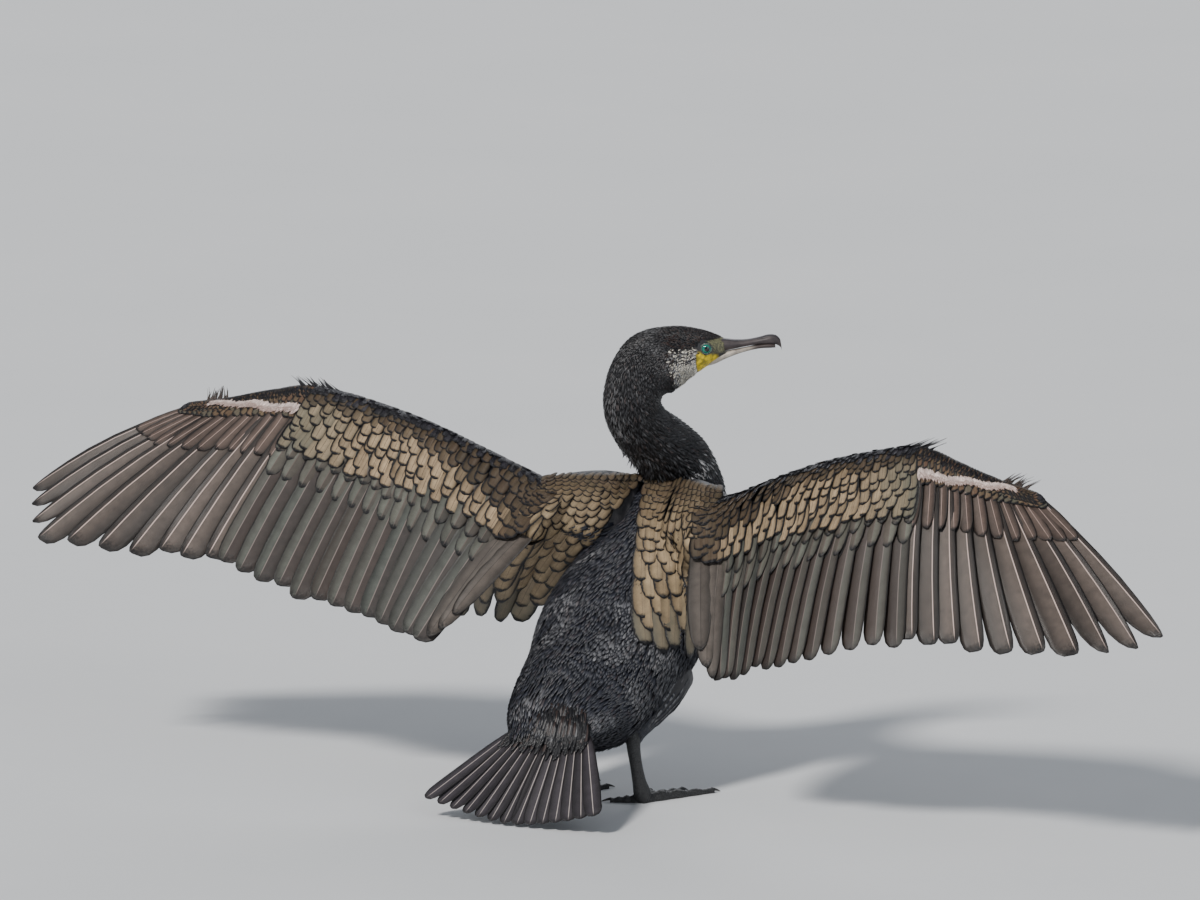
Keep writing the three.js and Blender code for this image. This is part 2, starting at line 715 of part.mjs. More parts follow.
// The ground, which gives the soles and the middle tail feathers small flats to stand on
const ground = solid(new THREE.BoxGeometry(600, 600, 40).translate(0, -100, -20));

// Putting the bird together: each piece is cut clear of what it grows from by the gap
const body = bodyPiece(0, NECK_BASE, 17);
const bodyGrown = bodyPiece(0, NECK_BASE, 17, GROWN);

const neckLower = bodyPiece(bodyPast(NECK_BASE, GAP), NECK_MIDDLE, 7).subtract(bodyGrown);
const neckRoom = bodyPiece(bodyPast(NECK_BASE, GAP), NECK_MIDDLE, 7, GROWN);
const neckUpper = bodyPiece(bodyPast(NECK_MIDDLE, GAP), NECK_TOP, 7).subtract(bodyGrown);
const neckUpperRoom = bodyPiece(bodyPast(NECK_MIDDLE, GAP), NECK_TOP, 7, GROWN);
const upperBill = mandible(UPPER_BILL);
const lowerBill = mandible(LOWER_BILL);
const billRoom = join([mandible(UPPER_BILL, GROWN), mandible(LOWER_BILL, GROWN)]);
const head = join([bodyPiece(bodyPast(NECK_TOP, GAP), BODY_END, 10), eyelid(1), eyelid(-1)])
  .subtract(billRoom)
  .subtract(neckUpperRoom)
  .subtract(join([eyeAt(1, EYE_RADIUS + GROWN), eyeAt(-1, EYE_RADIUS + GROWN)]));

const COLOURS = {
  plumage: { color: 0x1c1c22, roughness: 0.55, metalness: 0 },
  wing: { color: 0x55504a, roughness: 0.5, metalness: 0 },
  tail: { color: 0x4c4850, roughness: 0.6, metalness: 0 },
  bill: { color: 0x4a444c, roughness: 0.45, metalness: 0 },
  billBelow: { color: 0xa9a196, roughness: 0.5, metalness: 0 },
  eye: { color: 0x0b7d6c, roughness: 0.08, metalness: 0 },
  leg: { color: 0x24262a, roughness: 0.5, metalness: 0 },
};

const bird = new THREE.Group();

function node(name, made, look) {
  const mesh = new THREE.Mesh(geometryOf(largest(made)), new THREE.MeshStandardMaterial(COLOURS[look]));
  mesh.name = name;
  bird.add(mesh);
}

node("torso", body, "plumage");
node("neck_lower", neckLower, "plumage");
node("neck_upper", neckUpper, "plumage");
node("head", head, "plumage");
node("bill_upper", upperBill, "bill");
node("bill_lower", lowerBill.subtract(mandible(UPPER_BILL, GROWN)), "billBelow");
node("tail", tail().subtract(bodyGrown).subtract(ground), "tail");
for (const [label, mirror] of [["right", false], ["left", true]]) {
  const { arm, hand } = wing(mirror);
  const { thigh, shank, foot } = leg(mirror);
  node("eye_" + label, eyeAt(mirror ? -1 : 1, EYE_RADIUS), "eye");
  node("shoulder_" + label, shoulder(mirror).subtract(bodyGrown).subtract(neckRoom), "wing");
  const roomInside = bodyGrown.add(shoulder(mirror, GROWN)).add(neckRoom);
  node("wing_" + label + "_arm", arm.subtract(roomInside), "wing");
  node("wing_" + label + "_hand", hand, "wing");
  node("thigh_" + label, thigh.subtract(bodyGrown), "plumage");
  node("shank_" + label, shank.subtract(bodyGrown), "leg");
  node("foot_" + label, foot.subtract(ground), "leg");
}

// The origin is on the ground, under the middle of the bird's box
const box = new THREE.Box3().setFromObject(bird);
bird.position.set(-(box.min.x + box.max.x) / 2, -(box.min.y + box.max.y) / 2, -box.min.z);

export default bird;
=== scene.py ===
# The looks of a life-size great cormorant that dries its spread wings.
import math

import bpy
import numpy as np
from mathutils import Matrix, Vector
from mathutils.bvhtree import BVHTree


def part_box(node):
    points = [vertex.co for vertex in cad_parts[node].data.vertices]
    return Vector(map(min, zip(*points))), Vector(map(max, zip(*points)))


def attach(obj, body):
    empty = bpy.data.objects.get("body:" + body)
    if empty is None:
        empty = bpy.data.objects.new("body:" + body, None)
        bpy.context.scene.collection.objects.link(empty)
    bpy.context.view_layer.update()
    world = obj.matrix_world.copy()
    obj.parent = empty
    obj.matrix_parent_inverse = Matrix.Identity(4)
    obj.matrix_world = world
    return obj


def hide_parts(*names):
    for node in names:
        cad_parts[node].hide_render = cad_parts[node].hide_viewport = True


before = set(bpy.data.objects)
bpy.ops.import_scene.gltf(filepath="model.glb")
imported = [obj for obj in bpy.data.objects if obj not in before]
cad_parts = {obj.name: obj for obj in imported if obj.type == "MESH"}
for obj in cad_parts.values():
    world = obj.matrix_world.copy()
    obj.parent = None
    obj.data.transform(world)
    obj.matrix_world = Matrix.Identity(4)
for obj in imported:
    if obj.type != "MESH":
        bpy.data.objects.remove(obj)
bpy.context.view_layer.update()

MM = 0.001
rng = np.random.default_rng(11)

# Driving sizes, in millimetres as on the solids. The bird faces +Y, its right side is +X and up is +Z
HEAD_TURN = math.radians(59.5)
BILL_TILT = math.radians(4)
HEAD_ORIGIN = np.array([43.0, 110.0, 443.0])
EYE_FORWARD, EYE_UP, EYE_SIDE, EYE_RADIUS = 8.6, 2.6, 14.6, 6.2
BODY_LEAN = -12.0
LEG_SPREAD = 45.0
HOCK_HEIGHT = 70.0
COAT_DEPTH = 2.5  # how far the skin lies inside the plumage's outside

# The body's line from tail root to bill base: centre, half width, depth to the back, to the belly, and turn
BODY = np.array([
    [-4, -104, 80, 44, 13, 15, 0],
    [-7, -76, 90, 58, 32, 30, 0],
    [-11, -34, 98, 72, 54, 50, 0],
    [BODY_LEAN, 10, 121, 79, 63, 63, 0],
    [-13, 54, 160, 87, 66, 68, 0],
    [-4, 95, 206, 79, 64, 66, 0],
    [0, 128, 247, 66, 56, 56, 0],
    [0, 148, 285, 49, 50, 43, 0],
    [-1, 143, 318, 39, 36, 34, 0],
    [-5, 120, 340, 34, 31, 31, 0],
    [-9, 92, 359, 31, 29, 29, 0.02],
    [-11, 73, 384, 29, 29, 28, 0.15],
    [-6, 70, 410, 28, 30, 31, 0.4],
    [6, 80, 430, 27, 33, 37, 0.75],
    [24, 97, 440, 24.5, 27, 33, 0.95],
    [43, 110, 443, 20.5, 21, 23, 1],
    [57, 119, 444, 13, 15, 13.5, 1],
    [65.5, 124, 445, 8.5, 10, 9, 1],
])
BODY_END = len(BODY) - 1

# The right wing from shoulder to hand tip: leading edge, feather tips, depth of flesh and its thickness
WING = np.array([
    [62, 63, 292, 143, -64, 162, 66, 30],
    [112, 68, 306, 173, -72, 144, 64, 26],
    [205, 51, 345, 226, -90, 161, 60, 21],
    [272, 44, 366, 303, -106, 182, 48, 17],
    [346, 30, 382, 403, -96, 207, 33, 14],
    [394, 27, 370, 488, -104, 211, 24, 11],
    [442, 20, 357, 600, -102, 215, 17, 8],
    [488, 14, 348, 658, -22, 236, 11, 5],
], float)
WRIST, HAND_TIP = 4.0, 7.0
CAMBER = 10.0
TIP_DROOP = 13.0
LEFT_LIFT = np.array([0.0, 7.0, 10.0])
PRIMARIES, SECONDARIES, TERTIALS, TAIL_FEATHERS = 10, 13, 3, 14
SIDES = (("right", False), ("left", True))
BAKE_PATCH = (0.003, 0.003)  # a small feather's share of the bake map
RING_POINTS = 24


def unit(a):
    return a / np.maximum(np.linalg.norm(a, axis=-1, keepdims=True), 1e-9)


def lerp(a, b, t):
    return a + (b - a) * t


def smooth(t):
    t = np.clip(t, 0, 1)
    return t * t * (3 - 2 * t)


def at_stations(values, stations):
    """Each feather's own value or direction, repeated for all its stations."""
    return np.repeat(values[:, None], len(stations), 1)


def square_to(direction, way):
    """The direction turned square to way."""
    return unit(direction - (direction * way).sum(-1, keepdims=True) * way)


def through(values, t):
    """The value at t on a smooth line through values, where t counts whole entries."""
    values = np.asarray(values, float)
    last = len(values) - 1
    padded = np.concatenate([[2 * values[0] - values[1]], values, [2 * values[-1] - values[-2]]])
    t = np.clip(np.asarray(t, float), 0, last)
    i = np.minimum(np.floor(t), last - 1).astype(int)
    w = t - i
    if values.ndim > 1:
        w = w[..., None]
    before, start, end, after = padded[i], padded[i + 1], padded[i + 2], padded[i + 3]
    m1, m2 = (end - before) / 2, (after - start) / 2
    return start + m1 * w + (3 * (end - start) - 2 * m1 - m2) * w**2 + (2 * (start - end) + m1 + m2) * w**3


BILL_WAY = unit(np.array([math.sin(HEAD_TURN), math.cos(HEAD_TURN), math.tan(BILL_TILT)]))
HEAD_SIDE = np.array([math.cos(HEAD_TURN), -math.sin(HEAD_TURN), 0.0])
HEAD_UP = unit(np.cross(HEAD_SIDE, BILL_WAY))


def head_place(forward, up, side=0.0):
    forward, up, side = np.broadcast_arrays(forward, up, side)
    return HEAD_ORIGIN + forward[..., None] * BILL_WAY + up[..., None] * HEAD_UP + side[..., None] * HEAD_SIDE


def in_head(points):
    """Forward, up and side of points, measured in the head."""
    away = points - HEAD_ORIGIN
    return away @ BILL_WAY, away @ HEAD_UP, away @ HEAD_SIDE


# Where the bird's own origin, between the feet, lies in the frame, found from its right eye
eye_low, eye_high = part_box("eye_right")
SHIFT = np.array((eye_low + eye_high) / 2) / MM - head_place(EYE_FORWARD, EYE_UP, EYE_SIDE)
SHIFT[2] = 0.0


def to_frame(points):
    return (np.asarray(points, float) + SHIFT) * MM


# The body's surface
def body_frame(t):
    t = np.asarray(t, float)
    line = BODY[:, :3]
    forward = unit(through(line, t + 0.05) - through(line, t - 0.05))
    turned = -HEAD_TURN * through(BODY[:, 6], t)
    side = np.stack([np.cos(turned), np.sin(turned), np.zeros_like(turned)], -1)
    side = square_to(side, forward)
    return forward, side, unit(np.cross(side, forward))


def body_point(t, angle, grow=0.0):
    t, angle = np.broadcast_arrays(np.asarray(t, float), np.asarray(angle, float))
    _, side, up = body_frame(t)
    half = through(BODY[:, 3], t) + grow
    above = through(BODY[:, 4], t) + grow
    below = through(BODY[:, 5], t) + grow
    height = np.where(np.sin(angle) > 0, above, below) * np.sin(angle)
    place = through(BODY[:, :3], t)
    return place + side * (half * np.cos(angle))[..., None] + up * height[..., None]


def body_normal(t, angle):
    around = body_point(t, angle + 0.02) - body_point(t, angle - 0.02)
    forward = body_point(t + 0.03, angle) - body_point(t - 0.03, angle)
    return unit(np.cross(around, forward)) * -1.0, unit(forward)


# The wing's surface, for the right wing or, mirrored, for the left
class Wing:
    def __init__(self, left):
        self.left = left
        self.across = np.array([-1.0, 1.0, 1.0]) if left else np.ones(3)
        self.label = "left" if left else "right"

    def trail(self, s):
        outermost = np.maximum(0, (s - 5.9) / (HAND_TIP - 5.9))
        droop = TIP_DROOP * smooth(outermost) * (1 if self.left else -1)
        place = through(WING[:, 3:6], s) + np.stack([0 * droop, 0 * droop, droop], -1)
        return place + LEFT_LIFT if self.left else place

    def lead(self, s):
        share = np.clip((s - WRIST) / (HAND_TIP - WRIST), 0, 1)
        lift = 6 * np.sin(np.pi * np.minimum(share, 0.6)) if self.left else 0 * s
        return through(WING[:, :3], s) + np.stack([0 * lift, 0 * lift, lift], -1)

    def frame(self, s):
        s = np.asarray(s, float)
        down = unit(self.trail(s) - self.lead(s))
        middle = lambda t: (self.lead(t) + self.trail(t)) / 2
        span = unit(middle(np.minimum(s + 0.05, HAND_TIP)) - middle(np.maximum(s - 0.05, 0)))
        out = unit(np.cross(down, span))
        return down, out, unit(np.cross(out, down))

    def flesh(self, s):
        """Share of the chord that is flesh, and half its thickness."""
        chord = np.linalg.norm(self.lead(s) - self.trail(s), axis=-1)
        return through(WING[:, 6], s) / chord, through(WING[:, 7], s) / 2

    def surface(self, s, v, height=0.0):
        s, v, height = np.broadcast_arrays(np.asarray(s, float), v, height)
        _, out, _ = self.frame(s)
        bulge = CAMBER * np.sin(np.pi * np.minimum(v, 1) * 0.9) + height
        return self.lead(s) * (1 - v[..., None]) + self.trail(s) * v[..., None] + out * bulge[..., None]

    def cover(self, s, v):
        """How far the flesh's outside stands off the feathers' plane."""
        share, half = self.flesh(s)
        x = np.clip(v / share, 0, 3)
        front = np.sqrt(np.clip(1 - (1 - 2 * np.minimum(x, 0.5)) ** 2, 0, 1))
        back = 0.5 + 0.5 * np.cos(np.pi * np.clip((x - 0.5) / 1.1, 0, 1))
        return half * np.where(x < 0.5, front, back)


# Thin plates that stand for vanes, all of one bed in one mesh
def plate_faces(rows, columns):
    """Faces of one closed plate of rows by columns cells, upper layer first."""
    def at(layer, r, c):
        return (layer * (rows + 1) + r) * (columns + 1) + c

    faces = []
    for r in range(rows):
        for c in range(columns):
            faces.append([at(0, r, c), at(0, r, c + 1), at(0, r + 1, c + 1), at(0, r + 1, c)])
            faces.append([at(1, r, c), at(1, r + 1, c), at(1, r + 1, c + 1), at(1, r, c + 1)])
        faces.append([at(0, r, 0), at(0, r + 1, 0), at(1, r + 1, 0), at(1, r, 0)])
        faces.append([at(0, r, columns), at(1, r, columns), at(1, r + 1, columns), at(0, r + 1, columns)])
    for c in range(columns):
        faces.append([at(0, 0, c), at(1, 0, c), at(1, 0, c + 1), at(0, 0, c + 1)])
        faces.append([at(0, rows, c), at(0, rows, c + 1), at(1, rows, c + 1), at(1, rows, c)])
    return np.array(faces)


def new_piece(name, verts, faces, material):
    """A smooth mesh object from points in the frame."""
    mesh = bpy.data.meshes.new(name)
    mesh.from_pydata(verts, [], faces)
    mesh.polygons.foreach_set("use_smooth", np.ones(len(faces), bool))
    mesh.materials.append(material)
    piece = bpy.data.objects.new(name, mesh)
    bpy.context.collection.objects.link(piece)
    return piece


def mesh_piece(name, verts, faces, uvs, tones, material):
    """A piece with a UV per corner for each named map and a tone per point."""
    piece = new_piece(name, verts, faces, material)
    mesh = piece.data
    for map_name, uv in uvs.items():
        layer = mesh.uv_layers.new(name=map_name)
        layer.data.foreach_set("uv", np.ascontiguousarray(uv, np.float32).ravel())
    mark_tone(mesh, tones)
    return piece


def mark_tone(mesh, tones):
    tone = mesh.attributes.new("tone", "FLOAT_COLOR", "POINT")
    tone.data.foreach_set("color", np.ascontiguousarray(tones, np.float32).ravel())


def alone(piece):
    """Selects one piece and nothing else."""
    bpy.ops.object.select_all(action="DESELECT")
    piece.select_set(True)
    bpy.context.view_layer.objects.active = piece


def face_outward(piece):
    alone(piece)
    bpy.ops.object.mode_set(mode="EDIT")
    bpy.ops.mesh.select_all(action="SELECT")
    bpy.ops.mesh.normals_make_consistent(inside=False)
    bpy.ops.object.mode_set(mode="OBJECT")


# Outlines of feathers: stations along the shaft and the width at each
OUTLINES = {
    "flight": ([0, 0.1, 0.25, 0.45, 0.65, 0.82, 0.91, 0.955, 0.985, 1],
               [0.35, 0.6, 0.8, 0.93, 1, 1.02, 0.97, 0.83, 0.58, 0.15]),
    "pointed": ([0, 0.1, 0.25, 0.45, 0.62, 0.76, 0.87, 0.935, 0.975, 1],
                [0.35, 0.62, 0.85, 0.97, 1, 0.92, 0.78, 0.60, 0.38, 0.1]),
    "covert": ([0, 0.2, 0.45, 0.66, 0.83, 0.94, 1],
               [0.45, 0.78, 1, 1.02, 0.90, 0.62, 0.12]),
    "body": ([0, 0.35, 0.68, 0.9, 1], [0.45, 0.95, 1, 0.66, 0.12]),
    "hair": ([0, 0.55, 1], [0.6, 1, 0.12]),
}


def lay_vanes(name, outline, columns, centre, across, out, outer, inner, thick, home, patch, tone, material,
              camber=0.14, notch=0.0, under=1.0):
    """Lays one bed of feathers. centre, across and out hold a place and two directions for each station of
    each feather. outer and inner are its half widths, home and patch its place and size on the bake map, and
    under dims its lower face."""
    stations, widths = (np.array(a, float) for a in OUTLINES[outline])
    count, rows = centre.shape[0], len(stations) - 1
    share = np.linspace(-1, 1, columns + 1)
    half = np.where(share > 0, np.reshape(outer, (-1, 1, 1)), np.reshape(inner, (-1, 1, 1))) * np.abs(share)
    width = half * widths[None, :, None] * np.sign(share)
    if notch:
        width = width * (1 - notch * rng.random(width.shape) ** 4)
    sag = -camber * (np.abs(width) ** 2) / np.maximum(np.reshape(inner, (-1, 1, 1)), 0.1)
    # A vane thins towards its tip and its edges
    taper = 1 - 0.55 * stations[None, :, None]
    body = np.reshape(thick, (-1, 1, 1)) / 2 * taper * (1 - 0.5 * np.abs(share))
    points = []
    for layer in (1, -1):
        height = (sag + layer * body)[..., None]
        points.append(centre[:, :, None] + across[:, :, None] * width[..., None] + out[:, :, None] * height)
    points = np.stack(points, 1)
    faces = plate_faces(rows, columns)
    per = 2 * (rows + 1) * (columns + 1)
    flat = points.reshape(count, per, 3)
    # Faces turned outward on every feather, by the sign of its volume
    a, b, c, d = (flat[:, faces[:, k]] for k in range(4))
    middle = flat.mean(1, keepdims=True)
    volume = (np.cross(b - a, d - a) * ((a + b + c + d) / 4 - middle)).sum((1, 2))
    every = faces[None] + (np.arange(count) * per)[:, None, None]
    every = np.where((volume < 0)[:, None, None], every[:, :, ::-1], every).reshape(-1, 4)
    u = np.tile(((share + 1) / 2)[None, None, :], (2, rows + 1, 1)).ravel()
    v = np.tile(stations[None, :, None], (2, 1, columns + 1)).ravel()
    corner = every.ravel()
    own, which = corner % per, corner // per
    vane = np.stack([u[own], v[own]], -1)
    home = np.asarray(home, float)
    size = np.broadcast_to(np.asarray(patch, float), (count, 2))
    bake = home[which] + (vane - [0.5, 0.0]) * size[which]
    tones = np.repeat(np.asarray(tone, float), per, axis=0)
    tones.reshape(count, 2, -1, 4)[:, 1, :, 0] *= under
    maps = {"Vane": vane, "OFBake": bake}
    return mesh_piece(name, to_frame(flat.reshape(-1, 3)), every, maps, tones, material)


def tone_of(count, spread=1.0, pale=0.0, warm=0.0, cool=0.0, light=1.0):
    """A random brightness, a paleness, a warmth and a coolness for each feather."""
    tone = np.zeros((count, 4))
    tone[:, 0] = (0.55 + 0.6 * spread * (rng.random(count) - 0.5)) * light
    tone[:, 1] = pale
    tone[:, 2] = warm
    tone[:, 3] = cool
    return tone


def cloud(points, size, seed):
    """A smooth random value from 0 to 1 that changes over about size."""
    own = np.random.default_rng(seed)
    total = 0.0
    for _ in range(7):
        way = unit(own.normal(size=3)) * 2 * np.pi / size * own.uniform(0.6, 1.4)
        total = total + np.sin(points @ way + own.uniform(0, 2 * np.pi))
    return 0.5 + 0.5 * np.tanh(total / 2)


# Materials
def socket(tree, name, kind, way, default=None):
    made = tree.interface.new_socket(name=name, in_out=way, socket_type=kind)
    if default is not None:
        made.default_value = default
    return made


class Nodes:
    """A short way to write a node tree."""

    def __init__(self, tree):
        self.tree = tree

    def add(self, kind, **values):
        node = self.tree.nodes.new(kind)
        for name, value in values.items():
            setattr(node, name, value)
        return node

    def link(self, source, target):
        self.tree.links.new(source, target)

    def feed(self, target, value):
        if isinstance(value, bpy.types.NodeSocket):
            self.link(value, target)
        else:
            target.default_value = value

    def math(self, operation, a, b=0.0, clamp=False):
        node = self.add("ShaderNodeMath", operation=operation, use_clamp=clamp)
        self.feed(node.inputs[0], a)
        self.feed(node.inputs[1], b)
        return node.outputs[0]

    def scaled(self, value, reach, start):
        """start + reach x value."""
        return self.math("ADD", start, self.math("MULTIPLY", value, reach))

    def step(self, value, low, high):
        node = self.add("ShaderNodeMapRange", interpolation_type="SMOOTHSTEP")
        for name, given in (("Value", value), ("From Min", low), ("From Max", high)):
            self.feed(node.inputs[name], given)
        return node.outputs["Result"]

    def mix(self, factor, a, b, blend="MIX"):
        node = self.add("ShaderNodeMix", data_type="RGBA", blend_type=blend)
        self.feed(node.inputs[0], factor)
        self.feed(node.inputs[6], a)
        self.feed(node.inputs[7], b)
        return node.outputs[2]

    def dim(self, color, value):
        """The colour times the value."""
        grey = self.add("ShaderNodeCombineColor")
        for i in range(3):
            self.link(value, grey.inputs[i])
        return self.mix(1.0, color, grey.outputs[0], "MULTIPLY")

    def object_place(self):
        return self.add("ShaderNodeTexCoord").outputs["Object"]

    def parts(self, name):
        """A named UV map's or colour's parts."""
        split = self.add("ShaderNodeSeparateXYZ")
        self.link(self.add("ShaderNodeUVMap", uv_map=name).outputs[0], split.inputs[0])
        return split.outputs[0], split.outputs[1]

    def tone(self):
        """The tone attribute's three colours and its alpha."""
        mark = self.add("ShaderNodeAttribute", attribute_name="tone")
        split = self.add("ShaderNodeSeparateColor")
        self.link(mark.outputs["Color"], split.inputs[0])
        return *split.outputs[:3], mark.outputs["Alpha"]

    def stretched(self, u, along, v, across):
        """A vector of u and v, each at its own scale."""
        line = self.add("ShaderNodeCombineXYZ")
        self.link(self.math("MULTIPLY", u, along), line.inputs[0])
        self.link(self.math("MULTIPLY", v, across), line.inputs[1])
        return line.outputs[0]

    def relief(self, shader, height, strength, distance=0.0003):
        bump = self.add("ShaderNodeBump")
        bump.inputs["Strength"].default_value = strength
        bump.inputs["Distance"].default_value = distance
        self.link(height, bump.inputs["Height"])
        self.link(bump.outputs[0], shader.inputs["Normal"])
        return bump

    def noise(self, vector, scale, detail=2.0, rough=0.5):
        node = self.add("ShaderNodeTexNoise")
        self.link(vector, node.inputs["Vector"])
        node.inputs["Scale"].default_value = scale
        node.inputs["Detail"].default_value = detail
        node.inputs["Roughness"].default_value = rough
        return node.outputs["Fac"]


def make_vane_group():
    """The pattern of one feather: shaft, webs and edge colours, with its barbs as fine slanting ridges. The
    tone attribute's four parts are the feather's brightness, paleness, warmth and coolness."""
    tree = bpy.data.node_groups.new("vane pattern", "ShaderNodeTree")
    for name, value in (("Web", (0.2, 0.17, 0.13, 1)), ("Inner Web", (0.2, 0.17, 0.13, 1)),
                        ("Edge", (0.02, 0.02, 0.02, 1)), ("Shaft", (0.1, 0.08, 0.07, 1))):
        socket(tree, name, "NodeSocketColor", "INPUT", value)
    for name, value in (("Edge Width", 0.2), ("Tip Width", 0.1), ("Shaft Width", 0.06), ("Barbs", 60.0),
                        ("Fade", 0.5)):
        socket(tree, name, "NodeSocketFloat", "INPUT", value)
    for name, kind in (("Color", "Color"), ("Height", "Float"), ("Edge Mask", "Float")):
        socket(tree, name, f"NodeSocket{kind}", "OUTPUT")
    n = Nodes(tree)
    given = n.add("NodeGroupInput").outputs
    u, v = n.parts("Vane")
    signed = n.math("SUBTRACT", n.math("MULTIPLY", u, 2.0), 1.0)
    off = n.math("ABSOLUTE", signed)
    bright, pale, warm, cool = n.tone()
    place = n.object_place()
    ragged = n.math("MULTIPLY", n.math("SUBTRACT", n.noise(place, 420, 3), 0.5), 0.34)
    rim = n.math("ADD", off, ragged)
    inside = n.math("SUBTRACT", 1.0, given["Edge Width"])
    side = n.step(rim, n.math("SUBTRACT", inside, 0.10), n.math("ADD", inside, 0.12))
    tip_start = n.math("SUBTRACT", 1.0, given["Tip Width"])
    tip = n.step(n.math("ADD", v, n.math("MULTIPLY", ragged, 0.3)), n.math("SUBTRACT", tip_start, 0.04),
                 n.math("ADD", tip_start, 0.03))
    edge = n.math("MAXIMUM", side, tip)
    slant = n.math("MULTIPLY", n.math("SUBTRACT", v, n.math("MULTIPLY", off, 0.16)), given["Barbs"])
    barbs = n.add("ShaderNodeTexWave", wave_type="BANDS", bands_direction="X", wave_profile="SIN")
    barbs.inputs["Scale"].default_value = 1.0
    barbs.inputs["Distortion"].default_value = 1.2
    barbs.inputs["Detail"].default_value = 1.5
    line = n.add("ShaderNodeCombineXYZ")
    n.link(slant, line.inputs[0])
    n.link(n.math("MULTIPLY", signed, 0.6), line.inputs[1])
    n.link(bright, line.inputs[2])
    n.link(line.outputs[0], barbs.inputs["Vector"])
    webs = n.mix(n.step(signed, -0.05, 0.05), given["Inner Web"], given["Web"])
    webs = n.dim(webs, n.scaled(bright, 1.6, 0.12))
    webs = n.dim(webs, n.scaled(n.noise(place, 110, 5, 0.6), 1.1, 0.45))
    webs = n.dim(webs, n.scaled(barbs.outputs["Fac"], 0.56, 0.72))
    worn = n.math("SUBTRACT", 1.0, n.math("MULTIPLY", n.step(off, 0.15, 0.95), given["Fade"]))
    webs = n.dim(webs, worn)
    # Paleness greys the webs: pale feathers, and on back and neck also painted sheen
    webs = n.mix(pale, webs, (0.52, 0.52, 0.53, 1))
    webs = n.mix(n.math("MULTIPLY", warm, 0.6), webs, (0.13, 0.062, 0.04, 1))
    webs = n.mix(n.math("MULTIPLY", cool, 0.85), webs, (0.085, 0.10, 0.082, 1))
    color = n.mix(edge, webs, given["Edge"])
    across = n.step(off, n.math("MULTIPLY", given["Shaft Width"], 0.5), given["Shaft Width"])
    shaft = n.math("SUBTRACT", 1.0, across)
    shaft = n.math("MULTIPLY", shaft, n.math("SUBTRACT", 1.0, n.step(v, 0.93, 1.0)))
    color = n.mix(shaft, color, given["Shaft"])
    height = n.math("ADD", n.math("MULTIPLY", barbs.outputs["Fac"], 0.6), n.math("MULTIPLY", shaft, 1.6))
    out = n.add("NodeGroupOutput")
    for name, value in (("Color", color), ("Height", height), ("Edge Mask", edge)):
        n.link(value, out.inputs[name])
    return tree


VANE_PATTERN = make_vane_group()


def start_material(name):
    """A new material, its node writer and its shader."""
    material = bpy.data.materials.new(name)
    material.use_nodes = True
    return material, Nodes(material.node_tree), material.node_tree.nodes["Principled BSDF"]


def feather_material(name, web, edge, shaft, inner=None, edge_width=0.3, tip_width=0.12, shaft_width=0.06,
                     barbs=60.0, rough=0.5, edge_rough=0.4, specular=0.35, bump=0.5, fade=0.5):
    material, n, shader = start_material(name)
    pattern = n.add("ShaderNodeGroup", node_tree=VANE_PATTERN)
    for part, color in (("Web", web), ("Inner Web", inner or web), ("Edge", edge), ("Shaft", shaft)):
        pattern.inputs[part].default_value = (*color, 1)
    for part, value in (("Edge Width", edge_width), ("Tip Width", tip_width), ("Shaft Width", shaft_width),
                        ("Barbs", barbs), ("Fade", fade)):
        pattern.inputs[part].default_value = value
    n.link(pattern.outputs["Color"], shader.inputs["Base Color"])
    n.link(n.scaled(pattern.outputs["Edge Mask"], edge_rough - rough, rough), shader.inputs["Roughness"])
    n.relief(shader, pattern.outputs["Height"], bump)
    shader.inputs["Specular IOR Level"].default_value = specular
    return material


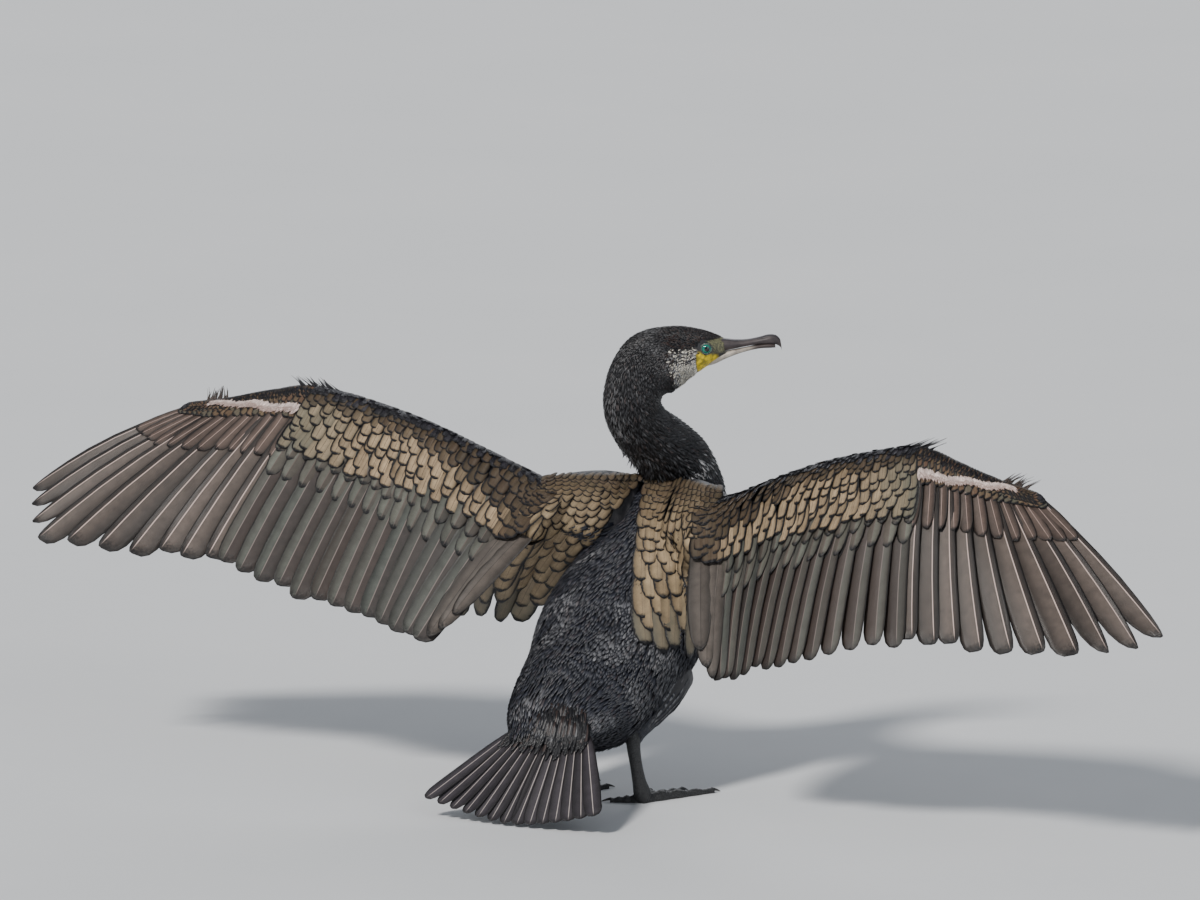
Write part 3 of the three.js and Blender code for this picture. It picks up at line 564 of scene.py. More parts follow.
# Kinds of feather, each with the colours of its web, edge and shaft
MATERIALS = {
    "covert": feather_material(
        "bronze covert feathers", (0.35, 0.258, 0.158), (0.005, 0.005, 0.007), (0.06, 0.04, 0.03),
        edge_width=0.26, tip_width=0.10, shaft_width=0.03, barbs=34, specular=0.3, fade=0.6),
    "edge_covert": feather_material(
        "blue black covert feathers", (0.022, 0.020, 0.026), (0.004, 0.004, 0.006), (0.01, 0.01, 0.01),
        edge_width=0.25, tip_width=0.16, barbs=24, rough=0.42),
    "greater": feather_material(
        "greater covert feathers", (0.125, 0.13, 0.108), (0.006, 0.006, 0.007), (0.12, 0.09, 0.08),
        inner=(0.075, 0.068, 0.056), edge_width=0.14, tip_width=0.06, barbs=60, specular=0.4),
    "secondary": feather_material(
        "secondary feathers", (0.066, 0.072, 0.062), (0.006, 0.006, 0.006), (0.20, 0.16, 0.145),
        inner=(0.036, 0.029, 0.026), edge_width=0.10, tip_width=0.02, shaft_width=0.045, barbs=130,
        rough=0.42, specular=0.5, fade=0.6),
    "primary": feather_material(
        "primary feathers", (0.035, 0.026, 0.022), (0.007, 0.006, 0.006), (0.62, 0.48, 0.43),
        inner=(0.098, 0.076, 0.064), edge_width=0.07, tip_width=0.035, shaft_width=0.05, barbs=150,
        rough=0.42, specular=0.5, fade=0.7),
    "primary_covert": feather_material(
        "primary covert feathers", (0.105, 0.074, 0.061), (0.010, 0.008, 0.008), (0.45, 0.33, 0.29),
        inner=(0.095, 0.068, 0.056), edge_width=0.11, tip_width=0.05, shaft_width=0.04, barbs=60, fade=0.6),
    "scapular": feather_material(
        "scapular feathers", (0.38, 0.285, 0.17), (0.005, 0.005, 0.007), (0.14, 0.10, 0.07),
        edge_width=0.20, tip_width=0.075, shaft_width=0.022, barbs=60, specular=0.3, fade=0.6),
    "tertial": feather_material(
        "tertial feathers", (0.088, 0.074, 0.064), (0.010, 0.009, 0.009), (0.02, 0.017, 0.015),
        inner=(0.105, 0.088, 0.076), edge_width=0.08, tip_width=0.03, shaft_width=0.025, barbs=110,
        rough=0.45, fade=0.6),
    "tail": feather_material(
        "tail feathers", (0.040, 0.035, 0.041), (0.010, 0.009, 0.010), (0.42, 0.37, 0.35), edge_width=0.10,
        tip_width=0.02, shaft_width=0.06, barbs=120, rough=0.5, fade=0.6),
    "back": feather_material(
        "back and belly feathers", (0.015, 0.0175, 0.029), (0.009, 0.0105, 0.0175), (0.01, 0.01, 0.012),
        edge_width=0.3, tip_width=0.2, barbs=14, rough=0.46, specular=0.45, bump=0.2),
    "neck": feather_material(
        "neck feathers", (0.011, 0.0105, 0.014), (0.006, 0.006, 0.008), (0.01, 0.01, 0.01), edge_width=0.3,
        tip_width=0.2, shaft_width=0.1, barbs=8, rough=0.4, specular=0.5, bump=0.25),
    "throat": feather_material(
        "white throat feathers", (0.92, 0.88, 0.78), (0.72, 0.68, 0.58), (0.8, 0.75, 0.65), edge_width=0.25,
        tip_width=0.12, barbs=10, rough=0.6, fade=0.1),
    "lining": feather_material(
        "under wing feathers", (0.03, 0.027, 0.028), (0.010, 0.009, 0.010), (0.07, 0.06, 0.055),
        edge_width=0.2, tip_width=0.1, barbs=50, rough=0.45),
    "down": feather_material(
        "pale hand feathers", (0.75, 0.62, 0.57), (0.45, 0.32, 0.28), (0.7, 0.55, 0.5), edge_width=0.2,
        tip_width=0.15, barbs=20, rough=0.7, fade=0.3),
}


def skin_material():
    """Skin under the feathers, dark but for the bare throat and lores, which an attribute marks."""
    material, n, shader = start_material("bird skin")
    gular, lores, _, _ = n.tone()
    place = n.object_place()
    dark = n.mix(n.noise(place, 400, 3), (0.010, 0.010, 0.013, 1), (0.035, 0.033, 0.036, 1))
    yellow = n.mix(n.step(n.noise(place, 230, 4), 0.35, 0.65), (0.86, 0.62, 0.002, 1), (0.30, 0.24, 0.008, 1))
    olive = n.mix(n.step(n.noise(place, 900, 3), 0.4, 0.62), (0.045, 0.042, 0.026, 1), (0.17, 0.17, 0.09, 1))
    color = n.mix(lores, n.mix(gular, dark, yellow), olive)
    n.link(color, shader.inputs["Base Color"])
    pores = n.add("ShaderNodeTexVoronoi")
    n.link(place, pores.inputs["Vector"])
    pores.inputs["Scale"].default_value = 1100
    n.relief(shader, pores.outputs["Distance"], 0.5)
    n.link(n.scaled(n.noise(place, 600, 2), 0.2, 0.42), shader.inputs["Roughness"])
    return material


def horn_material(name, light, dark, tip, streak=0.5, tip_from=0.78, ridge=None):
    """Horn with streaks along the bill, which its own UV map follows, and another colour on tip and ridge."""
    material, n, shader = start_material(name)
    along, around = n.parts("Along")
    lines = n.noise(n.stretched(along, 5.0, around, 60.0), 1.0, 5, 0.6)
    blotch = n.step(n.noise(n.object_place(), 120, 3), 0.3, 0.7)
    streaks, blotches = n.math("MULTIPLY", lines, streak), n.math("MULTIPLY", blotch, 1 - streak)
    factor = n.math("ADD", streaks, blotches, clamp=True)
    color = n.mix(factor, (*dark, 1), (*light, 1))
    color = n.mix(n.step(along, tip_from, tip_from + 0.2), color, (*tip, 1))
    if ridge:
        top = n.step(n.math("SINE", n.math("MULTIPLY", around, 2 * math.pi)), 0.55, 0.9)
        color = n.mix(n.math("MULTIPLY", top, 0.75), color, (*ridge, 1))
    n.link(color, shader.inputs["Base Color"])
    n.link(n.scaled(lines, 0.3, 0.28), shader.inputs["Roughness"])
    n.relief(shader, lines, 0.45, 0.0004)
    return material


def eye_material():
    """A green iris with fine spokes round a dark pupil, drawn by distance from the eye's middle."""
    material, n, shader = start_material("green eye")
    angle, away = n.parts("Iris")
    fibre = n.noise(n.stretched(angle, 60.0, away, 4.0), 1.0, 4, 0.6)
    iris = n.mix(fibre, (0.0, 0.06, 0.055, 1), (0.002, 0.22, 0.155, 1))
    iris = n.mix(n.step(away, 0.55, 0.72), iris, (0.001, 0.03, 0.027, 1))
    color = n.mix(n.step(away, 0.25, 0.28), (0.002, 0.002, 0.003, 1), iris)
    n.link(color, shader.inputs["Base Color"])
    n.link(n.scaled(fibre, 0.03, 0.05), shader.inputs["Roughness"])
    shader.inputs["Coat Weight"].default_value = 0.5
    shader.inputs["Coat Roughness"].default_value = 0.04
    return material


def lid_material():
    material, n, shader = start_material("eyelid skin")
    cells = n.add("ShaderNodeTexVoronoi")
    n.link(n.object_place(), cells.inputs["Vector"])
    cells.inputs["Scale"].default_value = 900
    away = cells.outputs["Distance"]
    n.link(n.mix(n.step(away, 0.25, 0.6), (0.11, 0.16, 0.13, 1), (0.018, 0.02, 0.02, 1)),
           shader.inputs["Base Color"])
    n.link(n.scaled(away, 0.2, 0.35), shader.inputs["Roughness"])
    n.relief(shader, away, 0.6).invert = True
    return material


def scaly_material():
    """Black leg skin in small plates with worn grey edges."""
    material, n, shader = start_material("scaly leg skin")
    place = n.object_place()
    cells = n.add("ShaderNodeTexVoronoi", feature="DISTANCE_TO_EDGE")
    n.link(place, cells.inputs["Vector"])
    cells.inputs["Scale"].default_value = 420
    plate = n.step(cells.outputs["Distance"], 0.02, 0.16)
    dust = n.noise(place, 160, 4)
    dark = n.mix(dust, (0.016, 0.017, 0.019, 1), (0.055, 0.055, 0.056, 1))
    n.link(n.mix(plate, (0.012, 0.012, 0.013, 1), dark), shader.inputs["Base Color"])
    n.link(n.scaled(dust, 0.25, 0.36), shader.inputs["Roughness"])
    n.relief(shader, plate, 0.7, 0.0005)
    return material


def plain_material(name, dark, light, scale, detail, rough, rough_reach, rough_scale):
    """A surface of two close colours in soft clouds, with its roughness varied as softly."""
    material, n, shader = start_material(name)
    place = n.object_place()
    n.link(n.mix(n.noise(place, scale, detail), (*dark, 1), (*light, 1)), shader.inputs["Base Color"])
    n.link(n.scaled(n.noise(place, rough_scale, 2), rough_reach, rough), shader.inputs["Roughness"])
    return material


SKIN = skin_material()
UPPER_HORN = horn_material("upper bill horn", (0.085, 0.066, 0.066), (0.014, 0.011, 0.013),
                           (0.05, 0.032, 0.03), ridge=(0.03, 0.028, 0.034))
LOWER_HORN = horn_material("lower bill horn", (0.62, 0.56, 0.47), (0.13, 0.105, 0.095), (0.045, 0.032, 0.03),
                           streak=0.4, tip_from=0.5)
EYE = eye_material()
LID = lid_material()
SCALY = scaly_material()
CLAW = plain_material("black claw horn", (0.008, 0.008, 0.009), (0.05, 0.045, 0.04), 500, 3, 0.2, 0.25, 300)
FLOOR = plain_material("pale floor", (0.66, 0.68, 0.70), (0.72, 0.73, 0.745), 3, 3, 0.75, 0.1, 20)


def ring_tube(rings):
    """Points and faces of a closed tube through rings of points, with a cap fanned at each end."""
    rings = np.asarray(rings, float)
    count, around = rings.shape[:2]
    verts = np.concatenate([rings.reshape(-1, 3), rings[0].mean(0)[None], rings[-1].mean(0)[None]])
    faces = []
    for r in range(count - 1):
        for i in range(around):
            j = (i + 1) % around
            faces.append((r * around + i, r * around + j, (r + 1) * around + j, (r + 1) * around + i))
    first, last = count * around, count * around + 1
    start = (count - 1) * around
    for i in range(around):
        j = (i + 1) % around
        faces.append((j, i, first))
        faces.append((start + i, start + j, last))
    return verts, faces


def tube_piece(name, rings, material, uv_map=None):
    """A smooth closed tube as a piece, its faces pointing out, with a UV map along and around it if asked."""
    verts, faces = ring_tube(rings)
    verts = to_frame(verts)
    centre = verts.mean(0)
    volume = 0.0
    for f in faces:
        a, b, c = (verts[k] - centre for k in f[:3])
        volume += np.dot(np.cross(a, b), c)
        if len(f) == 4:
            d = verts[f[3]] - centre
            volume += np.dot(np.cross(a, c), d)
    if volume < 0:
        faces = [tuple(reversed(f)) for f in faces]
    piece = new_piece(name, verts, faces, material)
    if uv_map:
        count, around = np.asarray(rings).shape[:2]
        layer = piece.data.uv_layers.new(name=uv_map)
        for loop in piece.data.loops:
            k = loop.vertex_index
            if k < count * around:
                layer.data[loop.index].uv = ((k // around) / (count - 1), (k % around) / around)
            else:
                layer.data[loop.index].uv = (0.0 if k == count * around else 1.0, 0.25)
    return piece


def turns(points):
    """Angles of points set evenly round a ring."""
    return np.arange(points) * 2 * np.pi / points


def oval_ring(centre, side, up, half, tall, points=RING_POINTS):
    angle = turns(points)
    height = tall * np.sin(angle)
    return centre + np.outer(half * np.cos(angle), side) + np.outer(height, up)


def finish(piece, slot, *nodes):
    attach(piece, "root")
    if nodes:
        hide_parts(*nodes)
    return piece


def cross_way(way):
    """The two directions of a limb's section that lies square to way."""
    side = unit(np.array([1.0, 0, 0]) - way[0] * way)
    return side, unit(np.cross(side, way))


# One skin over trunk, neck, head, shoulders, thighs and the flesh of both wings. The shoulder's stations hold
# a place and a radius, the thigh's a place, half width, half depth and the share of the body's lean
SHOULDER_HUMP = np.array(
    [[24, 104, 272, 26], [44, 86, 279, 31], [74, 70, 284, 27], [102, 58, 286, 20], [124, 50, 288, 11]], float)
HUMP_BROAD = 1.35
THIGH = np.array([
    [8, 52, 132, 28, 42, 1], [9, 30, 113, 27, 36, 1], [8, 14, 99, 22, 28, 0.8],
    [5, 0, 87, 16, 21, 0.5], [3, -12, 76, 11, 13.5, 0.2], [0, -18, HOCK_HEIGHT - 3, 8.4, 9, 0],
], float)
THIGH_COAT = 1.5


def hump_rings(left):
    across = -1 if left else 1
    side, up = np.array([0, 0.68, 0.73]), np.array([0, -0.73, 0.68])
    rings = []
    for t in np.linspace(0, len(SHOULDER_HUMP) - 1, 13):
        x, y, z, radius = through(SHOULDER_HUMP, t)
        radius = radius - COAT_DEPTH
        rings.append(oval_ring(np.array([x * across, y, z]), side, up, radius * HUMP_BROAD, radius))
    return rings


def thigh_rings(left):
    across = -1 if left else 1
    place = lambda row: np.array([(LEG_SPREAD + row[0]) * across + BODY_LEAN * row[5], row[1], row[2]])
    rings = []
    for t in np.linspace(0, len(THIGH) - 1, 16):
        row = through(THIGH, t)
        side, up = cross_way(unit(place(through(THIGH, t + 0.1)) - place(through(THIGH, t - 0.1))))
        rings.append(oval_ring(place(row), side, up, row[3] - THIGH_COAT, row[4] - THIGH_COAT))
    return rings


def wing_flesh_rings(wing):
    rings = []
    angle = turns(RING_POINTS)
    for s in np.linspace(0, HAND_TIP - 0.02, 40):
        share, half = wing.flesh(np.array(s))
        v = share * (1 - np.cos(angle)) / 2
        height = (half - 1.0) * np.sin(angle)
        rings.append(wing.surface(s, v, height) * wing.across)
    return rings


def head_marks(points):
    """How yellow and how olive the bare face is at each point, from its place in the head."""
    forward, up, _ = in_head(points)
    near = (np.linalg.norm(points - HEAD_ORIGIN, axis=-1) < 45) & (up > -34)
    gular = (near & (forward > -3.5) & (up < 3.0)).astype(float)
    gular *= smooth((forward + 3.5) / 3.0) * smooth((4.5 - up) / 3.0) * smooth((21.5 - forward) / 4.0)
    below = smooth((-up - 0.25 * forward + 1.5) / 3.0)
    lores = smooth((forward - 8) / 4.0) * smooth((up + 6) / 5.0) * smooth((12.5 - up) / 3.0) * near
    return gular * below, lores


def coat_depth(t):
    """How deep the skin lies under the plumage, least round the bill."""
    return np.interp(t, [0, 8, 13, 15, BODY_END], [COAT_DEPTH, COAT_DEPTH, 1.6, 0.8, 0.3])


def make_skin(wings):
    t = np.concatenate([np.linspace(0, 7, 42), np.linspace(7, 13, 55)[1:], np.linspace(13, BODY_END, 60)[1:]])
    rings = [body_point(a, turns(64), -coat_depth(a)) for a in t]
    skin = tube_piece("skin", rings, SKIN)
    for (_, left), wing in zip(SIDES, wings):
        for rings in (hump_rings(left), thigh_rings(left), wing_flesh_rings(wing)):
            part = tube_piece("limb flesh", rings, SKIN)
            alone(skin)
            union = skin.modifiers.new("join", "BOOLEAN")
            union.operation = "UNION"
            union.solver = "EXACT"
            union.object = part
            bpy.ops.object.modifier_apply(modifier="join")
            bpy.data.objects.remove(part)
    mesh = skin.data
    places = np.array([v.co for v in mesh.vertices]) / MM - SHIFT
    yellow, olive = head_marks(places)
    mark_tone(mesh, np.stack([yellow, olive, 0 * yellow, 0 * yellow + 1], -1))
    mesh.polygons.foreach_set("use_smooth", np.ones(len(mesh.polygons), bool))
    sides = [f"{part}_{w.label}" for w in wings for part in ("shoulder", "thigh")]
    return finish(skin, "plumage", "torso", "neck_lower", "neck_upper", "head", *sides)


# Small feathers over trunk, neck and head, with their length at each station of the body
FEATHER_LENGTH = np.array([17, 18, 18, 18, 17, 16, 14, 13, 11.5, 10.5, 10, 9, 7.5, 6, 4.8, 3.8, 2.8, 2.2])
# Stretches of the body that are one piece each, from station to station
TRUNK_STRETCHES = ((0.0, 1.8), (1.75, 2.9), (2.85, 4.0), (3.95, 5.6), (5.55, 7.9))
NECK_STRETCHES = ((7.6, 10.2), (10.1, 13.3))
THROAT_START, HEAD_START = 12.6, 13.1
COLLAR_PLACE = 8.16


def body_bed(name, start, end, along, beside, width, material, keep, pale, thick, swirl=0.7, lift=0.05):
    """Rows of narrow feathers along a stretch of the body. along and beside are spacings and width is the
    feather's width, as shares of its length. swirl turns them in patches and lift raises their ends."""
    line = lambda t: through(BODY[:, :3], t)
    pace = lambda t: np.linalg.norm(line(t + 0.05) - line(t - 0.05), axis=-1) / 0.1
    t_all, angle_all = [], []
    t, row = start, 0
    while t < end:
        length = float(through(FEATHER_LENGTH, t))
        half = float(through(BODY[:, 3], t))
        deep = float(through(BODY[:, 4] + BODY[:, 5], t)) / 2
        count = max(8, int(np.pi * (half + deep) / (beside * length)))
        t_all.append(np.full(count, t))
        angle_all.append((np.arange(count) + 0.5 * (row % 2)) * 2 * np.pi / count)
        t += along * length / pace(t)
        row += 1
    t, angle = np.concatenate(t_all), np.concatenate(angle_all)
    length = through(FEATHER_LENGTH, t)
    t = np.clip(t + (rng.random(len(t)) - 0.5) * along * 1.2 * length / pace(t), 0.02, BODY_END)
    angle = angle + (rng.random(len(t)) - 0.5) * beside * length / 45
    root = body_point(t, angle, -1.0)
    stay = keep(t, angle, root)
    t, angle, root = t[stay], angle[stay], root[stay]
    length = through(FEATHER_LENGTH, t) * (0.8 + 0.4 * rng.random(len(t)))
    normal, forward = body_normal(t, angle)
    outward = (normal * (root - line(t))).sum(-1)
    normal = normal * np.sign(outward)[:, None]
    sideways = unit(np.cross(normal, forward))
    yaw = (cloud(root, 1.6 * length.mean(), 5) - 0.5) * swirl
    yaw = yaw + (rng.random(len(t)) - 0.5) * 0.45 * swirl
    stations = np.array(OUTLINES["hair"][0])
    # Each feather follows the body's bend, drawn at every station to the surface below it
    reach = length[:, None] * stations / pace(t)[:, None]
    depth = -coat_depth(t)[:, None]
    behind = np.maximum(t[:, None] - reach, 0.0)
    beyond = np.maximum(reach - t[:, None], 0.0) * pace(t)[:, None]
    centre = body_point(behind, angle[:, None] + 0 * reach, depth) - forward[:, None] * beyond[..., None]
    centre = centre - sideways[:, None] * (yaw[:, None] * length[:, None] * stations)[..., None]
    # Over the nape's foot the feathers stand off in a ragged tuft
    tuft = smooth(1.7 - np.abs(t - 9.3) / 0.6) * smooth((np.sin(angle) - 0.1) / 0.5)
    top = coat_depth(t) + 0.25 + (lift + 0.75 * tuft * rng.random(len(t))) * length * rng.random(len(t))
    centre = centre + normal[:, None] * (-0.3 + (top[:, None] + 0.3) * stations)[..., None]
    way = unit(centre[:, -1] - centre[:, 0])
    across = at_stations(unit(np.cross(normal, way)), stations)
    out = at_stations(normal, stations)
    tone = tone_of(len(t), 0.45)
    tone[:, 1], tone[:, 2] = pale(t, angle, root)
    home = 0.01 + 0.97 * np.stack([(t - start) / (end - start + 0.3), (angle / (2 * np.pi)) % 1], -1)
    half_width = width * length / 2
    return lay_vanes(name, "hair", 2, centre, across, out, half_width, half_width, thick, home, BAKE_PATCH,
                     tone, MATERIALS[material], camber=0.3)


def bare_face(points):
    """True where the face has no feathers: round the eyes, on lores and throat pouch, and under the bill."""
    forward, up, _ = in_head(points)
    near_eye = np.zeros(len(points), bool)
    for way in (1, -1):
        eye = head_place(EYE_FORWARD, EYE_UP, EYE_SIDE * way)
        near_eye |= np.linalg.norm(points - eye, axis=-1) < EYE_RADIUS + 2.2
    gular = (forward > -1.5) & (up < -0.1 * forward - 1.0)
    lores = (forward > 13) & (up < 9.5)
    return near_eye | gular | lores | (forward > 25)


def make_body_feathers():
    everywhere = lambda t, angle, root: np.ones(len(t), bool)

    def trunk_sheen(t, angle, root):
        # Painted sheen: a soft grey mottle on the back, weaker below and gone towards the neck, but for a dark
        # line down its middle and dark patches over the rump
        patch = smooth((cloud(root, 46, 3) - 0.42) / 0.25)
        fine = cloud(root, 9, 4)
        line = smooth((np.abs(np.cos(angle)) - 0.12) / 0.25)
        back = np.where(np.sin(angle) > -0.2, 1.0, 0.25) * smooth((6.2 - t) / 1.5)
        grey = (0.03 + 0.19 * patch * line) * (0.6 + 0.7 * fine) * back
        return np.clip(grey * (0.7 + 0.6 * rng.random(len(t))), 0, 1), 0.2 * (rng.random(len(t)) > 0.85)

    def neck_pale(t, angle, root):
        mottle = rng.random(len(t))
        # Painted sheen with a grey frosting: soft grey over the upper neck, strongest on its left side
        beside = 0.25 + 0.75 * smooth((0.6 - np.cos(angle)) / 0.8)
        frost_and_sheen = smooth((t - 9.0) / 1.2) * beside * cloud(root, 30, 9)
        frost_and_sheen = 0.20 * frost_and_sheen * (0.5 + rng.random(len(t)))
        speckle = 0.14 * (mottle > 0.82) * cloud(root, 18, 12) + 0.025 + frost_and_sheen
        edge = 0.16 * (cloud(root, 7, 8) - 0.5)
        collar = smooth(1.5 - np.abs(t - COLLAR_PLACE + 2 * edge) / 0.15) * (mottle > 0.3)
        collar = collar * (0.3 + 0.5 * rng.random(len(t))) * smooth((np.cos(angle) + 0.35) / 0.4)
        return np.clip(speckle + collar, 0, 1), 0.3 * (rng.random(len(t)) > 0.85)

    def head_pale(t, angle, root):
        forward, up, _ = in_head(root)
        mottle = rng.random(len(t))
        cheek = smooth((forward + 34) / 10) * smooth((5 - up) / 6) * smooth((up + 20) / 5)
        cheek = 0.6 * cheek * (mottle > 0.35)
        band = smooth((forward + 26) / 6) * smooth((-10 - up) / 5) * smooth((up + 38) / 8) * (mottle > 0.06)
        speck = 0.12 * (mottle > 0.88)
        # A grey frosting over the back of the head, in part painted sheen
        frost_and_sheen = 0.20 * smooth((-22 - forward) / 15) * cloud(root, 24, 9) * (0.4 + 1.2 * rng.random(len(t)))
        brown = 0.5 * (rng.random(len(t)) > 0.6) * smooth((forward + 40) / 15) * (1 - band)
        return np.clip(np.maximum(np.maximum(cheek, 1.9 * band), speck) + frost_and_sheen, 0, 1.9), brown

    def head_keep(t, angle, root):
        return ~bare_face(root)

    def throat_keep(t, angle, root):
        forward, up, _ = in_head(root)
        ragged = 5 * (cloud(root, 9, 21) - 0.5)
        band = (forward > -19 + ragged) & (up < -9 + ragged) & (up > -40)
        speckled = (forward > -27 + ragged) & (up < 5 + ragged) & (up > -30) & (rng.random(len(t)) > 0.72)
        return (band | speckled) & ~bare_face(root)

    def throat_pale(t, angle, root):
        return np.zeros(len(t)), 0.12 * (rng.random(len(t)) > 0.7)

    for part, (start, end) in enumerate(TRUNK_STRETCHES):
        finish(body_bed(f"trunk_feathers_{part}", start, end, 0.25, 0.17, 0.22, "back", everywhere,
                        trunk_sheen, 0.3, swirl=0.16, lift=0.03), "plumage")
    for part, (start, end) in enumerate(NECK_STRETCHES):
        finish(body_bed(f"neck_feathers_{part}", start, end, 0.29, 0.215, 0.28, "neck", everywhere,
                        neck_pale, 0.4), "plumage")
    finish(body_bed("head_feathers", HEAD_START, BODY_END, 0.36, 0.28, 0.36, "neck", head_keep, head_pale,
                    0.3, swirl=0.4), "plumage")
    finish(body_bed("throat_feathers", THROAT_START, BODY_END, 0.34, 0.26, 0.30, "throat", throat_keep,
                    throat_pale, 0.3, swirl=0.4, lift=0.12), "plumage")


# Feathers of the spread wings
def wing_bed(name, wing, s, v0, v1, outer, inner, outline, columns, material, roll=8.0, rise=(0.6, 2.4),
             under=False, thick=0.6, tone=None, on_flesh=True, lean=0.0, home=None, patch=BAKE_PATCH,
             jitter=0.02, camber=0.14, notch=0.0):
    """Feathers down the wing from v0 to v1, each turned about its shaft by roll degrees so that it lies over
    the next one out. rise is the height of root and tip, and lean bends the tips along the wing."""
    s, v0, v1 = (np.asarray(a, float) for a in np.broadcast_arrays(s, v0, v1))
    count = len(s)
    stations = np.array(OUTLINES[outline][0])
    v = v0[:, None] + (v1 - v0)[:, None] * stations * (1 + jitter * (rng.random((count, 1)) - 0.5) * 2)
    grid = at_stations(s, stations)
    _, n, w = wing.frame(grid)
    side = -1.0 if under else 1.0
    cover = wing.cover(grid, v) if on_flesh else 0.0
    height = side * (cover + rise[0] + (rise[1] - rise[0]) * stations)
    shift = np.asarray(lean, float).reshape(-1, 1) * stations**2
    centre = wing.surface(grid, v, height) + w * shift[..., None]
    tilt = np.radians(roll) * (1 + 0.25 * (rng.random((count, 1)) - 0.5))
    tilt = at_stations(tilt[:, 0], stations)[..., None]
    turned = w * np.cos(tilt) + n * np.sin(tilt)
    face = (n * np.cos(tilt) - w * np.sin(tilt)) * side
    if home is None:
        home = np.stack([0.01 + 0.97 * s / HAND_TIP, 0.01 + 0.9 * np.clip(v0, 0, 1) / 0.6], -1)
    outer = np.broadcast_to(np.asarray(outer, float), (count,))
    inner = np.broadcast_to(np.asarray(inner, float), (count,))
    tone = tone_of(count, 0.6) if tone is None else tone
    centre, turned, face = (a * wing.across for a in (centre, turned, face))
    return lay_vanes(name, outline, columns, centre, turned, face, outer, inner, thick, home, patch, tone,
                     MATERIALS[material], camber=camber, notch=notch)


def columns_of(count, top=0.02, tall=0.96):
    """Bake map strips side by side, one for each of count large feathers."""
    wide = 1.0 / count
    home = np.stack([(np.arange(count) + 0.5) * wide, np.full(count, top)], -1)
    return home, (wide * 0.86, tall)


def flight_feathers(wing):
    pieces = []
    hand = np.linspace(4.09, 6.97, PRIMARIES)
    share, _ = wing.flesh(hand)
    outer_web = lerp(7, 5.5, np.linspace(0, 1, PRIMARIES))
    home, patch = columns_of(PRIMARIES)
    kinds = np.arange(PRIMARIES) >= PRIMARIES - 3
    for pointed, label in ((False, "inner"), (True, "outer")):
        pick = kinds == pointed
        pieces.append(wing_bed(
            f"{label}_primaries_{wing.label}", wing, hand[pick], share[pick] * 0.5,
            1 - 0.01 * rng.random(pick.sum()), outer_web[pick], 23.0, "pointed" if pointed else "flight", 8,
            "primary", rise=(0.2, 0.0), thick=1.5, on_flesh=False, home=home[pick], patch=patch, notch=0.05,
            camber=0.10))
    arm = np.linspace(1.15, 3.9, SECONDARIES)
    share, _ = wing.flesh(arm)
    home, patch = columns_of(SECONDARIES)
    pieces.append(wing_bed(
        f"secondaries_{wing.label}", wing, arm, share * 0.5, 1 - 0.014 * rng.random(SECONDARIES), 10.5, 19.0,
        "flight", 8, "secondary", rise=(0.2, 0.0), thick=1.4, on_flesh=False, home=home, patch=patch,
        notch=0.06, tone=tone_of(SECONDARIES, 0.7, 0, 0.3 * rng.random(SECONDARIES)), camber=0.10))
    inmost = np.linspace(0.3, 0.9, TERTIALS)
    share, _ = wing.flesh(inmost)
    home, patch = columns_of(TERTIALS)
    pieces.append(wing_bed(
        f"tertials_{wing.label}", wing, inmost, share * 0.5, lerp(0.90, 0.985, inmost), 12.0, 15.0, "pointed",
        8, "tertial", rise=(0.4, 1.2), thick=1.3, on_flesh=False, home=home, patch=patch,
        tone=tone_of(TERTIALS, 0.4), camber=0.10))
    return pieces


def join_beds(name, pieces):
    alone(pieces[0])
    for piece in pieces:
        piece.select_set(True)
    bpy.ops.object.join()
    pieces[0].name = name
    pieces[0].data.name = name
    return pieces[0]


# Tiers of small coverts on the arm, from the median coverts forward: tip, length and width, the first two as
# shares of the chord and the last in millimetres
ARM_ROWS = (
    (0.385, 0.15, 15.5), (0.330, 0.145, 15.0), (0.278, 0.135, 14.5), (0.228, 0.125, 13.5),
    (0.182, 0.115, 12.5), (0.140, 0.100, 11.0), (0.104, 0.085, 9.5), (0.074, 0.070, 8.0),
    (0.050, 0.050, 7.0), (0.030, 0.030, 6.0),
)
HAND_ROWS = (
    (0.21, 0.13, 10.0), (0.165, 0.12, 9.0), (0.13, 0.10, 8.5), (0.095, 0.08, 7.5), (0.065, 0.06, 6.5),
    (0.04, 0.04, 5.5),
)
# Greater coverts: count, root and tip as shares of the chord, and width in millimetres
GREATER_TIERS = ((14, 0.20, 0.56, 22.0), (16, 0.16, 0.455, 18.5))
PRIMARY_COVERTS = 12
# Rows along the leading edge: root as a share of the chord, and whether on the lower face
EDGE_ROWS = ((0.03, False), (0.016, False), (0.0, False), (0.012, True), (0.03, True))
EDGE_COUNT, DOWN_COUNT = 150, 520
# Ragged tufts at wrist and hand tip: middle, reach, count and kind of feather
RAGGED_TUFTS = ((3.95, 0.32, 24, "edge_covert"), (6.3, 0.28, 20, "primary_covert"))
THUMB_FEATHERS = 4


def covert_tone(s, tip):
    """Colours of the arm's coverts: bronze in the middle, blue black along the leading edge and towards the
    shoulder, and grey green near the wrist."""
    dark_edge = 0.13 + 0.15 * smooth((2.5 - s) / 1.5)
    lit = smooth((tip - dark_edge) / 0.06) * smooth((s - 0.75) / 0.5)
    lit = lit * (0.8 + 0.4 * rng.random(len(s)))
    cool = smooth((s - 3.0) / 0.9) * smooth((tip - 0.1) / 0.1) * (0.5 + 0.4 * rng.random(len(s)))
    return tone_of(len(s), 0.4, 0.0, 0.2 * rng.random(len(s)), cool, 0.10 + 0.95 * lit)


